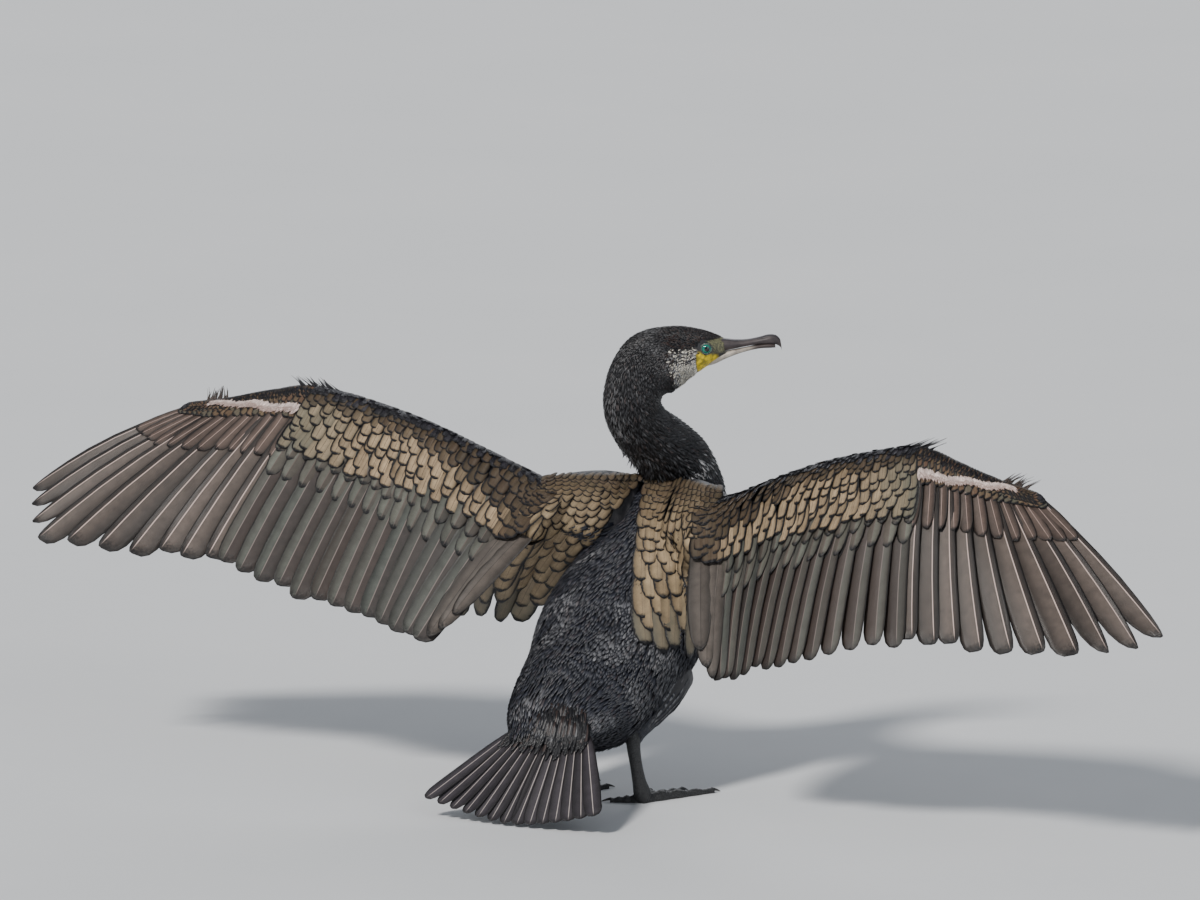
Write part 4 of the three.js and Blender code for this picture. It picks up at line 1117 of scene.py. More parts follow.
def covert_beds(wing, under):
    """The tiers of coverts on one face of the wing, largest first."""
    face = "under" if under else "upper"
    pick = lambda kind: "lining" if under else kind
    pieces = []
    for tier, (count, start, end, wide) in enumerate(GREATER_TIERS):
        t = np.linspace(0, 1, count)
        s = np.linspace(1.1, 3.93, count) + 0.06 * tier + (rng.random(count) - 0.5) * 0.02
        tone = tone_of(count, 0.5, 0.0, 0.2 * rng.random(count), 0.0, lerp(0.75, 1.1, t))
        pieces.append(wing_bed(f"{face}_greater_{tier}", wing, s, lerp(start, start - 0.06, t),
                               lerp(end, end - 0.05, t), wide * 0.42, wide * 0.58, "covert", 6,
                               pick("greater"), under=under, tone=tone,
                               rise=(0.5 + 0.5 * tier, 1.4 + tier),
                               thick=0.7, roll=6, jitter=0.05))
    count = PRIMARY_COVERTS
    s = np.linspace(4.05, 6.9, count)
    t = np.linspace(0, 1, count)
    pieces.append(wing_bed(f"{face}_primary", wing, s, lerp(0.10, 0.02, t), lerp(0.43, 0.35, t), 6.5, 11.5,
                           "covert", 6, pick("primary_covert"), under=under, rise=(0.6, 1.6), thick=0.7,
                           tone=tone_of(count, 0.5)))
    for row, (tip, long, width) in enumerate(ARM_ROWS):
        count = int(280 / (width * (1.02 if under else 0.82)))
        pace = 3.72 / count
        s = np.linspace(0.25, 3.97, count) + (0.5 * pace if row % 2 else 0.0)
        s = np.clip(s + (rng.random(count) - 0.5) * 0.3 * pace, 0.2, 3.99)
        end = tip + 0.040 * (rng.random(count) - 0.5)
        tone = covert_tone(s, end)
        kind = pick("covert" if row < 7 else "edge_covert")
        if kind == "edge_covert":
            tone = tone_of(count, 0.8)
        pieces.append(wing_bed(f"{face}_row_{row}", wing, s, np.maximum(end - long, 0.0), end, width * 0.50,
                               width * 0.60, "covert", 4, kind, under=under, rise=(1.6, 3.9), thick=0.55,
                               tone=tone, roll=5))
    for row, (tip, long, width) in enumerate(HAND_ROWS):
        count = int(180 / (width * 0.82))
        s = np.linspace(4.0, 6.85, count) + (rng.random(count) - 0.5) * 0.04
        end = tip * lerp(1.0, 0.55, (s - 4) / 3)
        tone = tone_of(count, 0.8, 0.0, 0.8 * rng.random(count), 0.6 * (rng.random(count) > 0.6) * (row < 2),
                       lerp(0.38, 0.15, row / 5))
        pieces.append(wing_bed(f"{face}_hand_{row}", wing, s, np.maximum(end - long, 0.0), end, width * 0.50,
                               width * 0.60, "covert", 4, pick("covert"), under=under, rise=(1.0, 2.8),
                               thick=0.5, tone=tone, roll=5))
    return join_beds(f"{face}_coverts_{wing.label}", pieces)


def edge_bed(wing):
    """Tiny dark feathers wrapped round the leading edge, ragged ones at wrist and hand tip, a line of pale
    down along the hand and the thumb's feathers."""
    pieces = []
    for row, (start, under) in enumerate(EDGE_ROWS):
        s = np.linspace(0.2, 6.95, EDGE_COUNT) + (rng.random(EDGE_COUNT) - 0.5) * 0.04
        pieces.append(wing_bed(f"edge_{row}", wing, s, start, start + 0.05, 3.0, 3.4, "body", 2,
                               "edge_covert", under=under, rise=(0.8, 2.8), thick=0.5, roll=12, jitter=0.3))
    count = DOWN_COUNT
    s = 4.08 + 2.2 * rng.random(count)
    middle = lerp(0.150, 0.040, smooth((s - 4.0) / 2.4)) + 0.006 * np.sin(7 * s)
    start = middle + 0.022 * (rng.random(count) - 0.5) * (1.3 - 0.35 * (s - 4))
    end = start + 0.022 + 0.014 * rng.random(count)
    pieces.append(wing_bed("hand_down", wing, s, start - 0.01, end, 1.1, 1.1, "hair", 2, "down",
                           rise=(2.2, 4.6), thick=0.4, roll=0, tone=tone_of(count, 0.5),
                           lean=4 * rng.random(count)))
    for middle, reach, count, kind in RAGGED_TUFTS:
        s = middle + reach * (rng.random(count) * 2 - 1)
        tip = 0.012 - 0.034 * rng.random(count)
        pieces.append(wing_bed("ragged", wing, s, 0.035, tip, 2.6, 2.6, "hair", 2, kind, rise=(1.0, 3.0),
                               thick=0.4, roll=0, lean=14 + 12 * rng.random(count),
                               tone=tone_of(count, 0.8, light=0.5)))
    t = np.array(OUTLINES["covert"][0])
    for i in range(THUMB_FEATHERS):
        start = np.array([4.15 + 0.12 * i])
        root = wing.surface(start, 0.05 + 0.012 * i, 4.0)[0]
        tip = wing.surface(start + 0.8 + 0.22 * i, 0.035 - 0.008 * i, 6.5 - 1.0 * i)[0]
        _, out, _ = wing.frame(np.array([4.6]))
        way = unit(tip - root)
        wide = unit(np.cross(out[0], way))
        centre = (root + np.outer(t, tip - root))[None]
        across = at_stations(wide[None], t)
        face = at_stations(unit(np.cross(way, wide))[None], t)
        half = np.array([4.8])
        pieces.append(lay_vanes(f"thumb_{i}", "covert", 4, centre * wing.across, across * wing.across,
                                face * wing.across, half, half, 0.8, [[0.2 + 0.1 * i, 0.95]], (0.05, 0.03),
                                tone_of(1), MATERIALS["primary_covert"]))
    return join_beds(f"leading_edge_{wing.label}", pieces)


def make_wings(wings):
    for wing in wings:
        solids = (f"wing_{wing.label}_arm", f"wing_{wing.label}_hand")
        flight = join_beds(f"flight_feathers_{wing.label}", flight_feathers(wing))
        finish(flight, "wing_feathers", *solids)
        for under in (False, True):
            finish(covert_beds(wing, under), "wing_feathers", *solids)
        finish(edge_bed(wing), "wing_feathers")


# The view from behind on the right, in which the scapular patches are drawn and the camera stands
VIEW_AZIMUTH, VIEW_ELEVATION = math.radians(30.5), math.radians(9.8)


def back_view():
    """Directions to the right of the view and from the bird to the viewer."""
    a, e = VIEW_AZIMUTH, VIEW_ELEVATION
    right = np.array([math.cos(a), math.sin(a), 0.0])
    return right, np.array([math.sin(a) * math.cos(e), -math.cos(a) * math.cos(e), math.sin(e)])


# Scapular feathers. Each side's patch is given by its inner and outer line, from the top down, in millimetres
# across and up from the feet in the view from behind, and is then laid on the skin below it
SCAPULAR_LINES = {
    "right": (
        ((42, 318), (36, 281), (34, 238), (34, 188), (38, 142)),
        ((116, 306), (106, 278), (103, 240), (101, 194), (92, 136)),
    ),
    "left": (
        ((36, 320), (10, 291), (-20, 253), (-49, 215), (-74, 180)),
        ((-60, 322), (-92, 298), (-122, 268), (-146, 230), (-152, 178)),
    ),
}


PATCH_STEPS, PATCH_SMOOTHING, PATCH_LIFT = 33, 14, 1.2
RAY_START = 300.0
WRAP_DROP = 260.0  # how fast the sheet falls away beyond the shoulder's edge


class ScapularPatch:
    """A smooth sheet over shoulder and back. a runs from the inner to the outer line, b from the top down."""

    def __init__(self, label, tree):
        right, self.away = back_view()
        up = np.cross(self.away, right)
        inner, outer = (np.array(line, float) for line in SCAPULAR_LINES[label])
        self.steps = np.linspace(0, 1, PATCH_STEPS)
        a, b = np.meshgrid(self.steps, self.steps, indexing="ij")
        flat = lerp(through(inner, 4 * b), through(outer, 4 * b), a[..., None])
        plane = flat[..., :1] * right + flat[..., 1:] * up
        height = np.full(a.shape, np.nan)
        for i in np.ndindex(a.shape):
            start = to_frame(plane[i] + self.away * RAY_START)
            hit, _, _, distance = tree.ray_cast(Vector(start), Vector(-self.away))
            if hit is not None:
                height[i] = RAY_START - distance / MM
        for i in range(PATCH_STEPS):
            known = ~np.isnan(height[i])
            gap = np.abs(self.steps[:, None] - self.steps[known][None]).min(1)
            height[i] = np.interp(self.steps, self.steps[known], height[i][known]) - WRAP_DROP * gap
        ground = height.copy()
        for _ in range(PATCH_SMOOTHING):
            edge = np.pad(height, 1, mode="edge")
            height = (edge[:-2, 1:-1] + edge[2:, 1:-1] + edge[1:-1, :-2] + edge[1:-1, 2:] + 2 * height) / 6
            height = np.maximum(height, ground)
        self.points = plane + self.away * (height + PATCH_LIFT)[..., None]

    def place(self, a, b):
        count = len(self.steps) - 1
        x, y = np.clip(a, 0, 1) * count, np.clip(b, 0, 1) * count
        i, j = np.minimum(x.astype(int), count - 1), np.minimum(y.astype(int), count - 1)
        u, v = (x - i)[..., None], (y - j)[..., None]
        p = self.points
        near = lerp(p[i, j], p[i + 1, j], u)
        far = lerp(p[i, j + 1], p[i + 1, j + 1], u)
        beyond = np.maximum(np.asarray(b) - 1, 0)[..., None] * count
        return lerp(near, far, v) + (far - near) * beyond

    def span(self, start, end):
        """The distance between two places of the sheet."""
        first, last = (self.place(*(np.array([q]) for q in place)) for place in (start, end))
        return np.linalg.norm(last - first)


def make_scapulars(wing, tree):
    patch = ScapularPatch(wing.label, tree)
    long_way = patch.span((0.5, 0.0), (0.5, 0.99))
    a_all, b_all, length_all, width_all = [], [], [], []
    tip, row = 4.0, 0
    while tip < long_way + 6:
        b = min(tip / long_way, 1.0)
        broad = patch.span((0.02, b), (0.98, b))
        width = lerp(8.5, 24.0, b**1.2)
        count = max(4, int(round(broad / (width * 0.82))))
        first = 0.75 if row % 2 else 0.25
        a_all.append((np.arange(count) + first) / count + (rng.random(count) - 0.5) * 0.25 / count)
        b_all.append(np.full(count, tip) + (rng.random(count) - 0.5) * 0.42 * width)
        length_all.append(np.full(count, lerp(12.0, 56.0, b)))
        width_all.append(np.full(count, width))
        tip += lerp(7.5, 18.0, b)
        row += 1
    a, tip = np.clip(np.concatenate(a_all), 0, 1), np.concatenate(b_all)
    length, width = np.concatenate(length_all), np.concatenate(width_all)
    stations = np.array(OUTLINES["covert"][0])
    reach = (tip[:, None] - length[:, None] * (1 - stations)) / long_way
    grid = at_stations(a, stations)
    centre = patch.place(grid, reach)
    # Roots above the sheet's top curl down behind it
    early = np.minimum(reach, 0.0)[..., None]
    down = patch.place(grid, np.full_like(grid, 0.03)) - patch.place(grid, np.zeros_like(grid))
    centre = centre + down / 0.03 * early - patch.away * ((early * long_way) ** 2 / 9)
    way = unit(np.gradient(centre, axis=1))
    wide = patch.place(np.minimum(grid + 0.02, 1), reach) - patch.place(np.maximum(grid - 0.02, 0), reach)
    wide = square_to(unit(wide), way)
    out = np.cross(way, wide)
    out = out * np.sign((out * patch.away).sum(-1, keepdims=True))
    tilt = math.radians(7)
    turned = wide * math.cos(tilt) - out * math.sin(tilt)
    face = out * math.cos(tilt) + wide * math.sin(tilt)
    b = np.clip(tip / long_way, 0, 1)
    rise = lerp(1.2, 3.6, smooth(3 * b))
    centre = centre + out * (rise[:, None] * stations - 0.2)[..., None]
    home = np.stack([0.02 + 0.9 * a, 0.02 + 0.9 * b], -1)
    outside = smooth((a - 0.72) / 0.2) * smooth((0.8 - b) / 0.3)
    light = lerp(0.14, 1.0, smooth(b * 1.8)) * (1 - 0.6 * outside) * (1 - 0.3 * smooth((0.12 - a) / 0.1))
    last = smooth((b - 0.84) / 0.14)
    tone = tone_of(len(a), 0.35, 0.08 * last, 0.25 * rng.random(len(a)), 0.6 * last, light)
    half = width * 0.54
    bed = lay_vanes(f"scapulars_{wing.label}", "covert", 6, centre, turned, face, half, half, 0.8, home,
                    BAKE_PATCH, tone, MATERIALS["scapular"], camber=0.12, under=0.0)
    return finish(bed, "wing_feathers", f"shoulder_{wing.label}")


# The tail: stiff overlapping feathers, the middle ones uppermost, and coverts over their roots
TAIL_ROOT, TAIL_TIP = np.array([0, -106, 84.0]), np.array([0, -186, 1.4])
TAIL_OUTER_TIP = np.array([97, -187, 19.0])
TAIL_ROOT_HALF = 41
TAIL_COVERT_ROWS, TAIL_COVERTS = ((1, 6), (-1, 5)), 44  # rows over and under the tail, and feathers in a row


def make_tail():
    down = unit(np.array([0, TAIL_TIP[1] - TAIL_ROOT[1], TAIL_TIP[2] - TAIL_ROOT[2]]))
    out = np.array([0, -down[2], down[1]])
    out = out * np.sign(out[2])
    u = np.linspace(-1, 1, TAIL_FEATHERS)
    away = np.abs(u)
    zero = np.zeros_like(u)
    root = np.stack([TAIL_ROOT_HALF * u, zero + TAIL_ROOT[1], zero + TAIL_ROOT[2]], -1)
    root = root - out * (2.4 * away)[:, None]
    tip = np.stack([TAIL_OUTER_TIP[0] * u, lerp(TAIL_TIP[1], TAIL_OUTER_TIP[1], away**2),
                    lerp(TAIL_TIP[2], TAIL_OUTER_TIP[2], away**1.6) + 1.6], -1)
    stations = np.array(OUTLINES["flight"][0])
    line = unit(tip - root)
    wide = unit(np.cross(line, out[None]))
    wide = wide * np.sign(wide[:, :1])
    tilt = np.radians(-7 * np.sign(u))[:, None]
    turned = wide * np.cos(tilt) + out * np.sin(tilt)
    face = out * np.cos(tilt) - wide * np.sin(tilt)
    centre = root[:, None] + (tip - root)[:, None] * stations[:, None]
    home, patch = columns_of(TAIL_FEATHERS)
    half_width = np.full(TAIL_FEATHERS, 9.5)
    fan = lay_vanes("tail_feathers", "flight", 8, centre, at_stations(turned, stations),
                    at_stations(face, stations), half_width, half_width, 1.3, home, patch,
                    tone_of(TAIL_FEATHERS, 0.5), MATERIALS["tail"], camber=0.06, notch=0.08)
    beds = [fan]
    stations = np.array(OUTLINES["body"][0])
    count = TAIL_COVERTS
    half_width = np.full(count, 2.3)
    for side, rows in TAIL_COVERT_ROWS:
        face = np.broadcast_to(out * side, (count, 3))
        for row in range(rows):
            a = np.linspace(-1, 1, count) + (rng.random(count) - 0.5) * 0.10
            start = -28 + 4.5 * row + 15 * rng.random((count, 1)) ** 2
            length = 22 * (0.7 + 0.6 * rng.random(count))
            along = start + length[:, None] * stations
            half = 40 + along * 0.30
            drop = 9 * (1 - np.clip(a, -1, 1) ** 2) * np.exp(-np.maximum(along.mean(1), 0) / 16)
            centre = TAIL_ROOT + down * along[..., None]
            centre = centre + np.array([1.0, 0, 0]) * (half * a[:, None])[..., None]
            lift = side * (drop[:, None] * (1 - 0.7 * stations) + 1.6 + 1.2 * stations)
            centre = centre + out * lift[..., None]
            way = unit(centre[:, -1] - centre[:, 0])
            wide = unit(np.cross(way, face))
            home = np.stack([0.05 + 0.9 * (a + 1.1) / 2.2, np.full(count, 0.99)], -1)
            pale = 0.02 + 0.22 * (rng.random(count) > 0.9)
            tone = tone_of(count, 0.8, pale, 0.35 * (rng.random(count) > 0.7), 0.0, 0.6)
            beds.append(lay_vanes(f"tail_covert_{side}_{row}", "body", 2, centre, at_stations(wide, stations),
                                  at_stations(face, stations), half_width, half_width, 0.6, home, BAKE_PATCH,
                                  tone, MATERIALS["neck"], camber=0.25))
    tail = join_beds("tail_fan", beds)
    return finish(tail, "tail_feathers", "tail")


# The bill, each half lofted from distance along it, top, bottom and half width
UPPER_BILL = np.array([
    [8, 9, -5, 6.5], [18, 11.5, -5.5, 7.8], [27, 9.3, -3.6, 7], [38, 7.4, -1.8, 5.8], [50, 6.8, -0.2, 5],
    [62, 8.2, 0.6, 4.7], [71, 10, 0.2, 4.6], [78, 9.2, -0.6, 4], [82.4, 5, -3.6, 2.6], [83.6, -1.6, -7, 0.9],
], float)
LOWER_BILL = np.array([
    [6, -7, -18, 6.6], [16, -6, -16, 7], [26, -4.2, -12, 6.3], [38, -2.4, -8, 5], [50, -0.9, -5.2, 4.2],
    [62, 0.7, -3.6, 3.8], [72, 0.9, -3.8, 3.5], [77.5, -0.2, -3.8, 2.4],
], float)


BILL_POINTS, BILL_STEPS = 40, 70


def bill_half(name, stations, material, upper):
    rings = []
    sine, cosine = np.sin(turns(BILL_POINTS)), np.cos(turns(BILL_POINTS))
    for t in np.linspace(0, len(stations) - 1, BILL_STEPS):
        forward, top, bottom, half = through(stations, t)
        middle, tall = (top + bottom) / 2, (top - bottom) / 2
        # A groove runs along each side of the upper half below its ridge, and a crease along the lower
        width = half * np.sign(cosine) * np.abs(cosine) ** 0.85
        if upper:
            groove = np.exp(-((sine - 0.38) / 0.13) ** 2) * 0.8
            groove = groove * smooth(t - 0.4) * smooth((6.4 - t) / 0.8)
            width = width - np.sign(cosine) * groove
        else:
            crease = np.exp(-((sine + 0.1) / 0.2) ** 2) * 0.35 * smooth((5.5 - t) / 1.5)
            width = width - np.sign(cosine) * crease
        rings.append(head_place(np.full(BILL_POINTS, forward), middle + tall * sine, width))
    return tube_piece(name, rings, material, "Along")


def make_bill():
    finish(bill_half("upper_bill", UPPER_BILL, UPPER_HORN, True), "bill_horn", "bill_upper")
    finish(bill_half("lower_bill", LOWER_BILL, LOWER_HORN, False), "bill_pale", "bill_lower")


# The eyes, with lids of small beaded skin
def make_eyes():
    bpy.ops.object.select_all(action="DESELECT")
    for label, way in (("right", 1), ("left", -1)):
        centre = Vector(to_frame(head_place(EYE_FORWARD, EYE_UP, EYE_SIDE * way)))
        bpy.ops.mesh.primitive_uv_sphere_add(segments=48, ring_count=32, radius=EYE_RADIUS * MM)
        eye = bpy.context.active_object
        eye.name = eye.data.name = f"eyeball_{label}"
        look = Vector(unit(HEAD_SIDE * way + BILL_WAY * 0.12))
        layer = eye.data.uv_layers.new(name="Iris")
        for loop in eye.data.loops:
            co = eye.data.vertices[loop.vertex_index].co.normalized()
            away = math.acos(max(-1, min(1, co.z))) / 1.6
            layer.data[loop.index].uv = (math.atan2(co.y, co.x) / (2 * math.pi) + 0.5, away)
        turn = look.to_track_quat("Z", "Y").to_matrix().to_4x4()
        eye.data.transform(Matrix.Translation(centre) @ turn)
        eye.data.materials.append(EYE)
        bpy.ops.object.shade_smooth()
        finish(eye, "eye", f"eye_{label}")
        lid_ring(label, way)


def lid_ring(label, way):
    """A raised ring of skin round the eye, drawn tighter above and below."""
    points, around = 56, 14
    rings = []
    for i in range(points):
        angle = 2 * np.pi * i / points
        bead = 1 + 0.10 * math.cos(angle * 22)
        radius = EYE_RADIUS - 1.1
        tall = radius * (0.93 if math.sin(angle) > 0 else 0.97)
        middle = head_place(EYE_FORWARD + radius * math.cos(angle), EYE_UP + tall * math.sin(angle),
                            (EYE_SIDE + 3.1) * way)
        outward = BILL_WAY * math.cos(angle) + HEAD_UP * math.sin(angle)
        turn = turns(around)
        rings.append(middle + np.outer(np.cos(turn) * 1.5 * bead, outward)
                     + np.outer(np.sin(turn) * 1.15 * bead, HEAD_SIDE))
    rings = np.array(rings)
    verts = to_frame(rings.reshape(-1, 3))
    faces = []
    for r in range(points):
        for i in range(around):
            r2, j = (r + 1) % points, (i + 1) % around
            faces.append((r * around + i, r * around + j, r2 * around + j, r2 * around + i))
    lid = new_piece(f"eyelid_{label}", verts, faces, LID)
    face_outward(lid)
    return finish(lid, "plumage")


# Legs and webbed feet
def leg_seat(left, x, y, z):
    return np.array([(LEG_SPREAD + x) * (-1 if left else 1), y, z], float)


# The shank from above the hock down: a place, half width and half depth
SHANK = np.array([
    [0, -15, HOCK_HEIGHT + 8, 6, 7], [0, -20, HOCK_HEIGHT, 7.4, 9], [0, -20, HOCK_HEIGHT - 12, 6.2, 8.2],
    [0, -15, HOCK_HEIGHT - 30, 5.4, 7.6], [0, -9, HOCK_HEIGHT - 48, 6.2, 8.4],
    [0, -5, HOCK_HEIGHT - 57, 7.6, 9.6], [0, -2, 8, 7.6, 9.4], [0, 0, 3.5, 6.8, 8.6],
], float)


def shank_rings(left):
    place = lambda t: leg_seat(left, *through(SHANK, t)[:3])
    rings = []
    for t in np.linspace(0, len(SHANK) - 1, 60):
        side, up = cross_way(unit(place(t + 0.08) - place(t - 0.08)))
        rings.append(oval_ring(place(t), side, up, *through(SHANK, t)[3:], points=32))
    return rings


# Toes, each with its tip across and along from the foot's middle and its half width at root and end
TOES = {
    "hind": ((-29, -17), 5.2, 2.8),
    "inner": ((-20, 47), 5.4, 3.0),
    "middle": ((5, 68), 5.8, 3.2),
    "outer": ((33, 80), 6.0, 3.2),
}
BALL = (0.0, -2.0)


def toe_way(left, tip):
    """Directions along a toe and across it."""
    across = -1 if left else 1
    way = unit(np.array([(tip[0] - BALL[0]) * across, tip[1] - BALL[1], 0.0]))
    return way, np.array([-way[1], way[0], 0.0])


def toe_rings(left, tip, root, end):
    way, wide = toe_way(left, tip)
    length = math.hypot(tip[0] - BALL[0], tip[1] - BALL[1])
    start = leg_seat(left, *BALL, 0)
    angle = np.linspace(0, np.pi, 15)
    arch = np.stack([np.cos(angle), 0.12 + 0.88 * np.sin(angle) ** 0.8], -1)
    sole = np.array([[-0.86, 0.0], [-0.4, 0.0], [0.0, 0.0], [0.4, 0.0], [0.86, 0.0]])
    section = np.concatenate([arch, sole])
    rings = []
    for d in np.linspace(-4, length, 46):
        t = np.clip(d / length, 0, 1)
        joint = 0.10 * math.cos(t * 4 * 2 * math.pi) + 0.03 * math.cos(t * 26 * 2 * math.pi)
        half = lerp(root, end, t) * (0.94 + joint)
        high = lerp(root * 1.9, end * 1.6, t) * (0.92 + joint)
        rings.append(start + way * d + np.outer(section[:, 0] * half, wide)
                     + np.outer(section[:, 1] * high, [0, 0, 1.0]))
    return rings


def claw_rings(left, tip, end):
    way, wide = toe_way(left, tip)
    start = leg_seat(left, *tip, 0)
    angle = turns(14)
    rings = []
    for t in np.linspace(0, 1, 16):
        size = (1 - t) ** 0.7 * 0.9 + 0.08
        middle = start + way * (11 * t - 1.2) + np.array([0, 0, end * (1 - t**1.6) + 0.55])
        half = end * 0.62 * size
        middle[2] = max(middle[2], half + 0.05)
        rings.append(middle + np.outer(np.cos(angle) * half, wide)
                     + np.outer(np.sin(angle) * half, [0, 0, 1.0]))
    return rings


def web_sheet(left, name):
    """The web as one thin sheet through all four toes, slack and ribbed between them."""
    tips = [np.array(tip, float) for tip, _, _ in TOES.values()]
    rays, steps = 49, 18
    upper = np.zeros((rays, steps, 3))
    for i in range(rays):
        t = 3 * i / (rays - 1)
        k = min(int(t), 2)
        w = t - k
        fold = math.sin(math.pi * w)
        edge = lerp(lerp(tips[k], tips[k + 1], w), np.array(BALL), 0.16 * fold)
        for j in range(steps):
            u = 0.06 + 0.94 * j / (steps - 1)
            x, y = lerp(np.array(BALL), edge, u)
            z = 1.5 + 1.0 * (1 - fold) * (1 - u) + 0.45 * fold * math.sin(w * 9 * math.pi) * u
            upper[i, j] = leg_seat(left, x, y, max(z, 0.7))
    verts = np.concatenate([upper.reshape(-1, 3), (upper * [1, 1, 0]).reshape(-1, 3)])
    faces = []
    at = lambda layer, i, j: layer * rays * steps + i * steps + j
    for i in range(rays - 1):
        for j in range(steps - 1):
            faces.append((at(0, i, j), at(0, i + 1, j), at(0, i + 1, j + 1), at(0, i, j + 1)))
            faces.append((at(1, i, j), at(1, i, j + 1), at(1, i + 1, j + 1), at(1, i + 1, j)))
    for i in range(rays - 1):
        faces.append((at(0, i, 0), at(1, i, 0), at(1, i + 1, 0), at(0, i + 1, 0)))
        end = steps - 1
        faces.append((at(0, i, end), at(0, i + 1, end), at(1, i + 1, end), at(1, i, end)))
    for j in range(steps - 1):
        faces.append((at(0, 0, j), at(0, 0, j + 1), at(1, 0, j + 1), at(1, 0, j)))
        last = rays - 1
        faces.append((at(0, last, j), at(1, last, j), at(1, last, j + 1), at(0, last, j + 1)))
    sheet = new_piece(name, to_frame(verts), faces, SCALY)
    face_outward(sheet)
    bpy.ops.object.shade_smooth_by_angle(angle=math.radians(50))
    return sheet


def make_legs():
    for label, left in SIDES:
        finish(tube_piece(f"shank_skin_{label}", shank_rings(left), SCALY), "leg_skin", f"shank_{label}")
        toes = [tube_piece(f"toe_{k}", toe_rings(left, *TOES[k]), SCALY) for k in TOES]
        foot = join_beds(f"foot_skin_{label}", [web_sheet(left, f"web_{label}")] + toes)
        finish(foot, "leg_skin", f"foot_{label}")
        claws = [tube_piece(f"claw_{k}", claw_rings(left, TOES[k][0], TOES[k][2]), CLAW) for k in TOES]
        finish(join_beds(f"claws_{label}", claws), "leg_skin")


def limb_bed(name, rings, r, k, place, way, normal, length, rise, curl, half, tone):
    """Tufts over a limb's skin. r and k are their place along and round its rings and rise is the height of
    root and tip. curl is how far the tips turn in and half is the half width, both as shares of the length."""
    stations = np.array(OUTLINES["hair"][0])
    height = rise[0] + (rise[1] - rise[0]) * stations - curl * length[:, None] * stations**2
    centre = place[:, None] + way[:, None] * (length[:, None] * stations)[..., None]
    centre = centre + normal[:, None] * height[..., None]
    home = 0.02 + 0.95 * np.stack([r / len(rings), k / RING_POINTS], -1)
    across = at_stations(unit(np.cross(normal, way)), stations)
    bed = lay_vanes(name, "hair", 2, centre, across, at_stations(normal, stations), length * half,
                    length * half, 0.5, home, BAKE_PATCH, tone, MATERIALS["back"], camber=0.25)
    return finish(bed, "plumage")


SHOULDER_TUFTS, THIGH_TUFTS = 1700, 1250


def make_shoulder_feathers():
    """Dark feathers over the front and the underside of each shoulder, out to the root of the wing."""
    for label, left in SIDES:
        rings = np.array(hump_rings(left))
        r = rng.random(SHOULDER_TUFTS) * (len(rings) - 1.3) + 0.3
        k = rng.random(SHOULDER_TUFTS) * RING_POINTS
        i, j = r.astype(int), k.astype(int)
        share, beside, after = (r - i)[:, None], (k - j)[:, None], (j + 1) % RING_POINTS
        place = lerp(lerp(rings[i, j], rings[i, after], beside),
                     lerp(rings[i + 1, j], rings[i + 1, after], beside), share)
        way = unit(rings[i + 1, j] - rings[i, j] + np.array([0.0, -1.0, -3.0]))
        normal = square_to(unit(place - lerp(rings.mean(1)[i], rings.mean(1)[i + 1], share)), way)
        stay = (normal[:, 1] > 0.1) | (normal[:, 2] < -0.35)
        place, way, normal, r, k = place[stay], way[stay], normal[stay], r[stay], k[stay]
        length = lerp(15.0, 10.0, r / len(rings)) * (0.8 + 0.4 * rng.random(len(r)))
        tone = tone_of(len(r), 0.8, 0.06 * (rng.random(len(r)) > 0.7))
        limb_bed(f"shoulder_feathers_{label}", rings, r, k, place, way, normal, length, (-0.4, 2.5), 0.10,
                 0.15, tone)


def make_thigh_feathers():
    """Short feathers over each thigh down to the hock, whitish on the outside."""
    for label, left in SIDES:
        rings = np.array(thigh_rings(left))
        r = rng.random(THIGH_TUFTS) ** 0.8 * (len(rings) - 3) + 1
        k = rng.random(THIGH_TUFTS) * RING_POINTS
        i, j = r.astype(int), k.astype(int)
        place = lerp(rings[i, j], rings[i + 1, j], (r - i)[:, None])
        way = unit(rings[i + 1, j] - rings[i, j])
        normal = square_to(unit(place - rings.mean(1)[i]), way)
        outside = normal[:, 0] * (-1 if left else 1)
        pale = 0.35 * (rng.random(THIGH_TUFTS) > 0.5) * smooth(outside) * smooth((0.8 - r / len(rings)) / 0.4)
        tone = tone_of(THIGH_TUFTS, 0.8, pale)
        limb_bed(f"thigh_feathers_{label}", rings, r, k, place, way, normal, lerp(17.0, 10.0, r / len(rings)),
                 (-0.3, 2.1), 0.22, 0.16, tone)


# Camera at the photograph's angle: a long lens far away, with one pixel of the picture to one millimetre
CAMERA_LENS, CAMERA_SENSOR, CAMERA_DISTANCE, CAMERA_REACH = 900.0, 36.0, 30.0, 200.0
FEET_PIXEL = (605, 798)
PICTURE_MIDDLE = (600, 450)


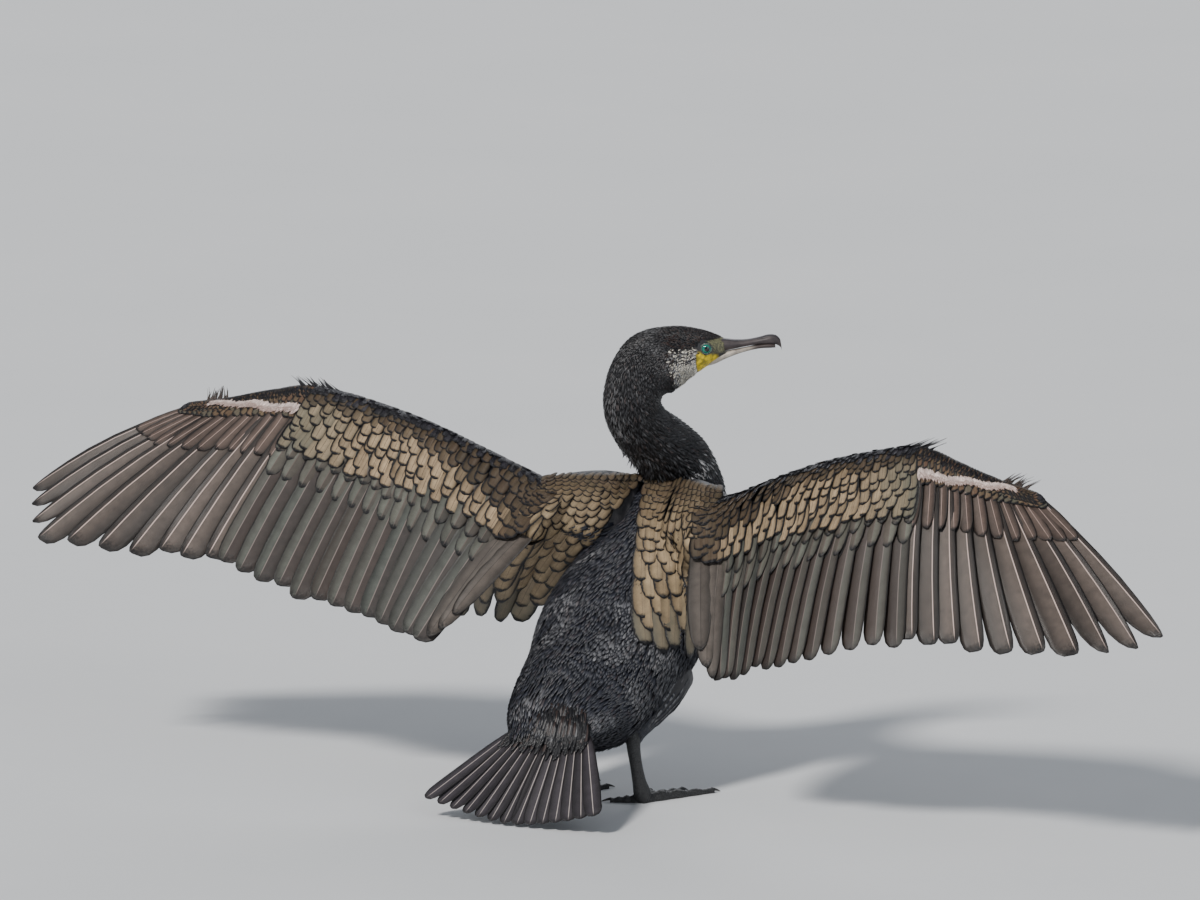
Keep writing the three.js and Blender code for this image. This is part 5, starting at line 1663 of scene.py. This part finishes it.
def make_camera():
    right, back = (Vector(way) for way in back_view())
    up = back.cross(right)
    aside, above = PICTURE_MIDDLE[0] - FEET_PIXEL[0], FEET_PIXEL[1] - PICTURE_MIDDLE[1]
    target = Vector(to_frame([0.0, 0.0, 0.0])) + right * aside * MM + up * above * MM
    bpy.ops.object.select_all(action="DESELECT")
    bpy.ops.object.camera_add(location=target + back * CAMERA_DISTANCE)
    camera = bpy.context.active_object
    camera.rotation_euler = back.to_track_quat("Z", "Y").to_euler()
    camera.data.sensor_width = CAMERA_SENSOR
    camera.data.lens = CAMERA_LENS
    camera.data.clip_end = CAMERA_REACH
    bpy.context.scene.camera = camera


FLOOR_SIZE = 160
# Lights, each with its place, angular spread in degrees, strength and colour
LIGHTS = (
    ("key light", (-0.2, -3.4, 3.2), 9, 3.4, (1.0, 0.97, 0.93)),
    ("fill light", (3.2, -1.6, 1.6), 40, 0.6, (0.92, 0.96, 1.0)),
    ("back light", (-1.5, 3.2, 2.4), 30, 0.7, (0.95, 0.97, 1.0)),
)
LIGHT_TARGET = Vector((0, 0, 0.25))
WORLD_COLOR, WORLD_STRENGTH = (0.80, 0.86, 0.95, 1), 0.3


def make_light(name, place, spread, strength, color):
    """A soft light that falls evenly on bird and floor, from the given side."""
    bpy.ops.object.light_add(type="SUN", location=place)
    light = bpy.context.active_object
    light.name = name
    light.data.angle = math.radians(spread)
    light.data.energy = strength
    light.data.color = color
    light.rotation_euler = (Vector(place) - LIGHT_TARGET).to_track_quat("Z", "Y").to_euler()


def make_studio():
    bpy.ops.object.select_all(action="DESELECT")
    bpy.ops.mesh.primitive_plane_add(size=FLOOR_SIZE)
    floor = bpy.context.active_object
    floor.name = "floor"
    floor.data.materials.append(FLOOR)
    for light in LIGHTS:
        make_light(*light)
    world = bpy.data.worlds.new("studio")
    bpy.context.scene.world = world
    world.use_nodes = True
    background = world.node_tree.nodes["Background"]
    background.inputs[0].default_value = WORLD_COLOR
    background.inputs[1].default_value = WORLD_STRENGTH


WINGS = (Wing(False), Wing(True))
make_camera()
make_studio()
skin = make_skin(WINGS)
skin_tree = BVHTree.FromObject(skin, bpy.context.evaluated_depsgraph_get())
make_body_feathers()
make_wings(WINGS)
for wing in WINGS:
    make_scapulars(wing, skin_tree)
make_tail()
make_bill()
make_eyes()
make_legs()
make_thigh_feathers()
make_shoulder_feathers()
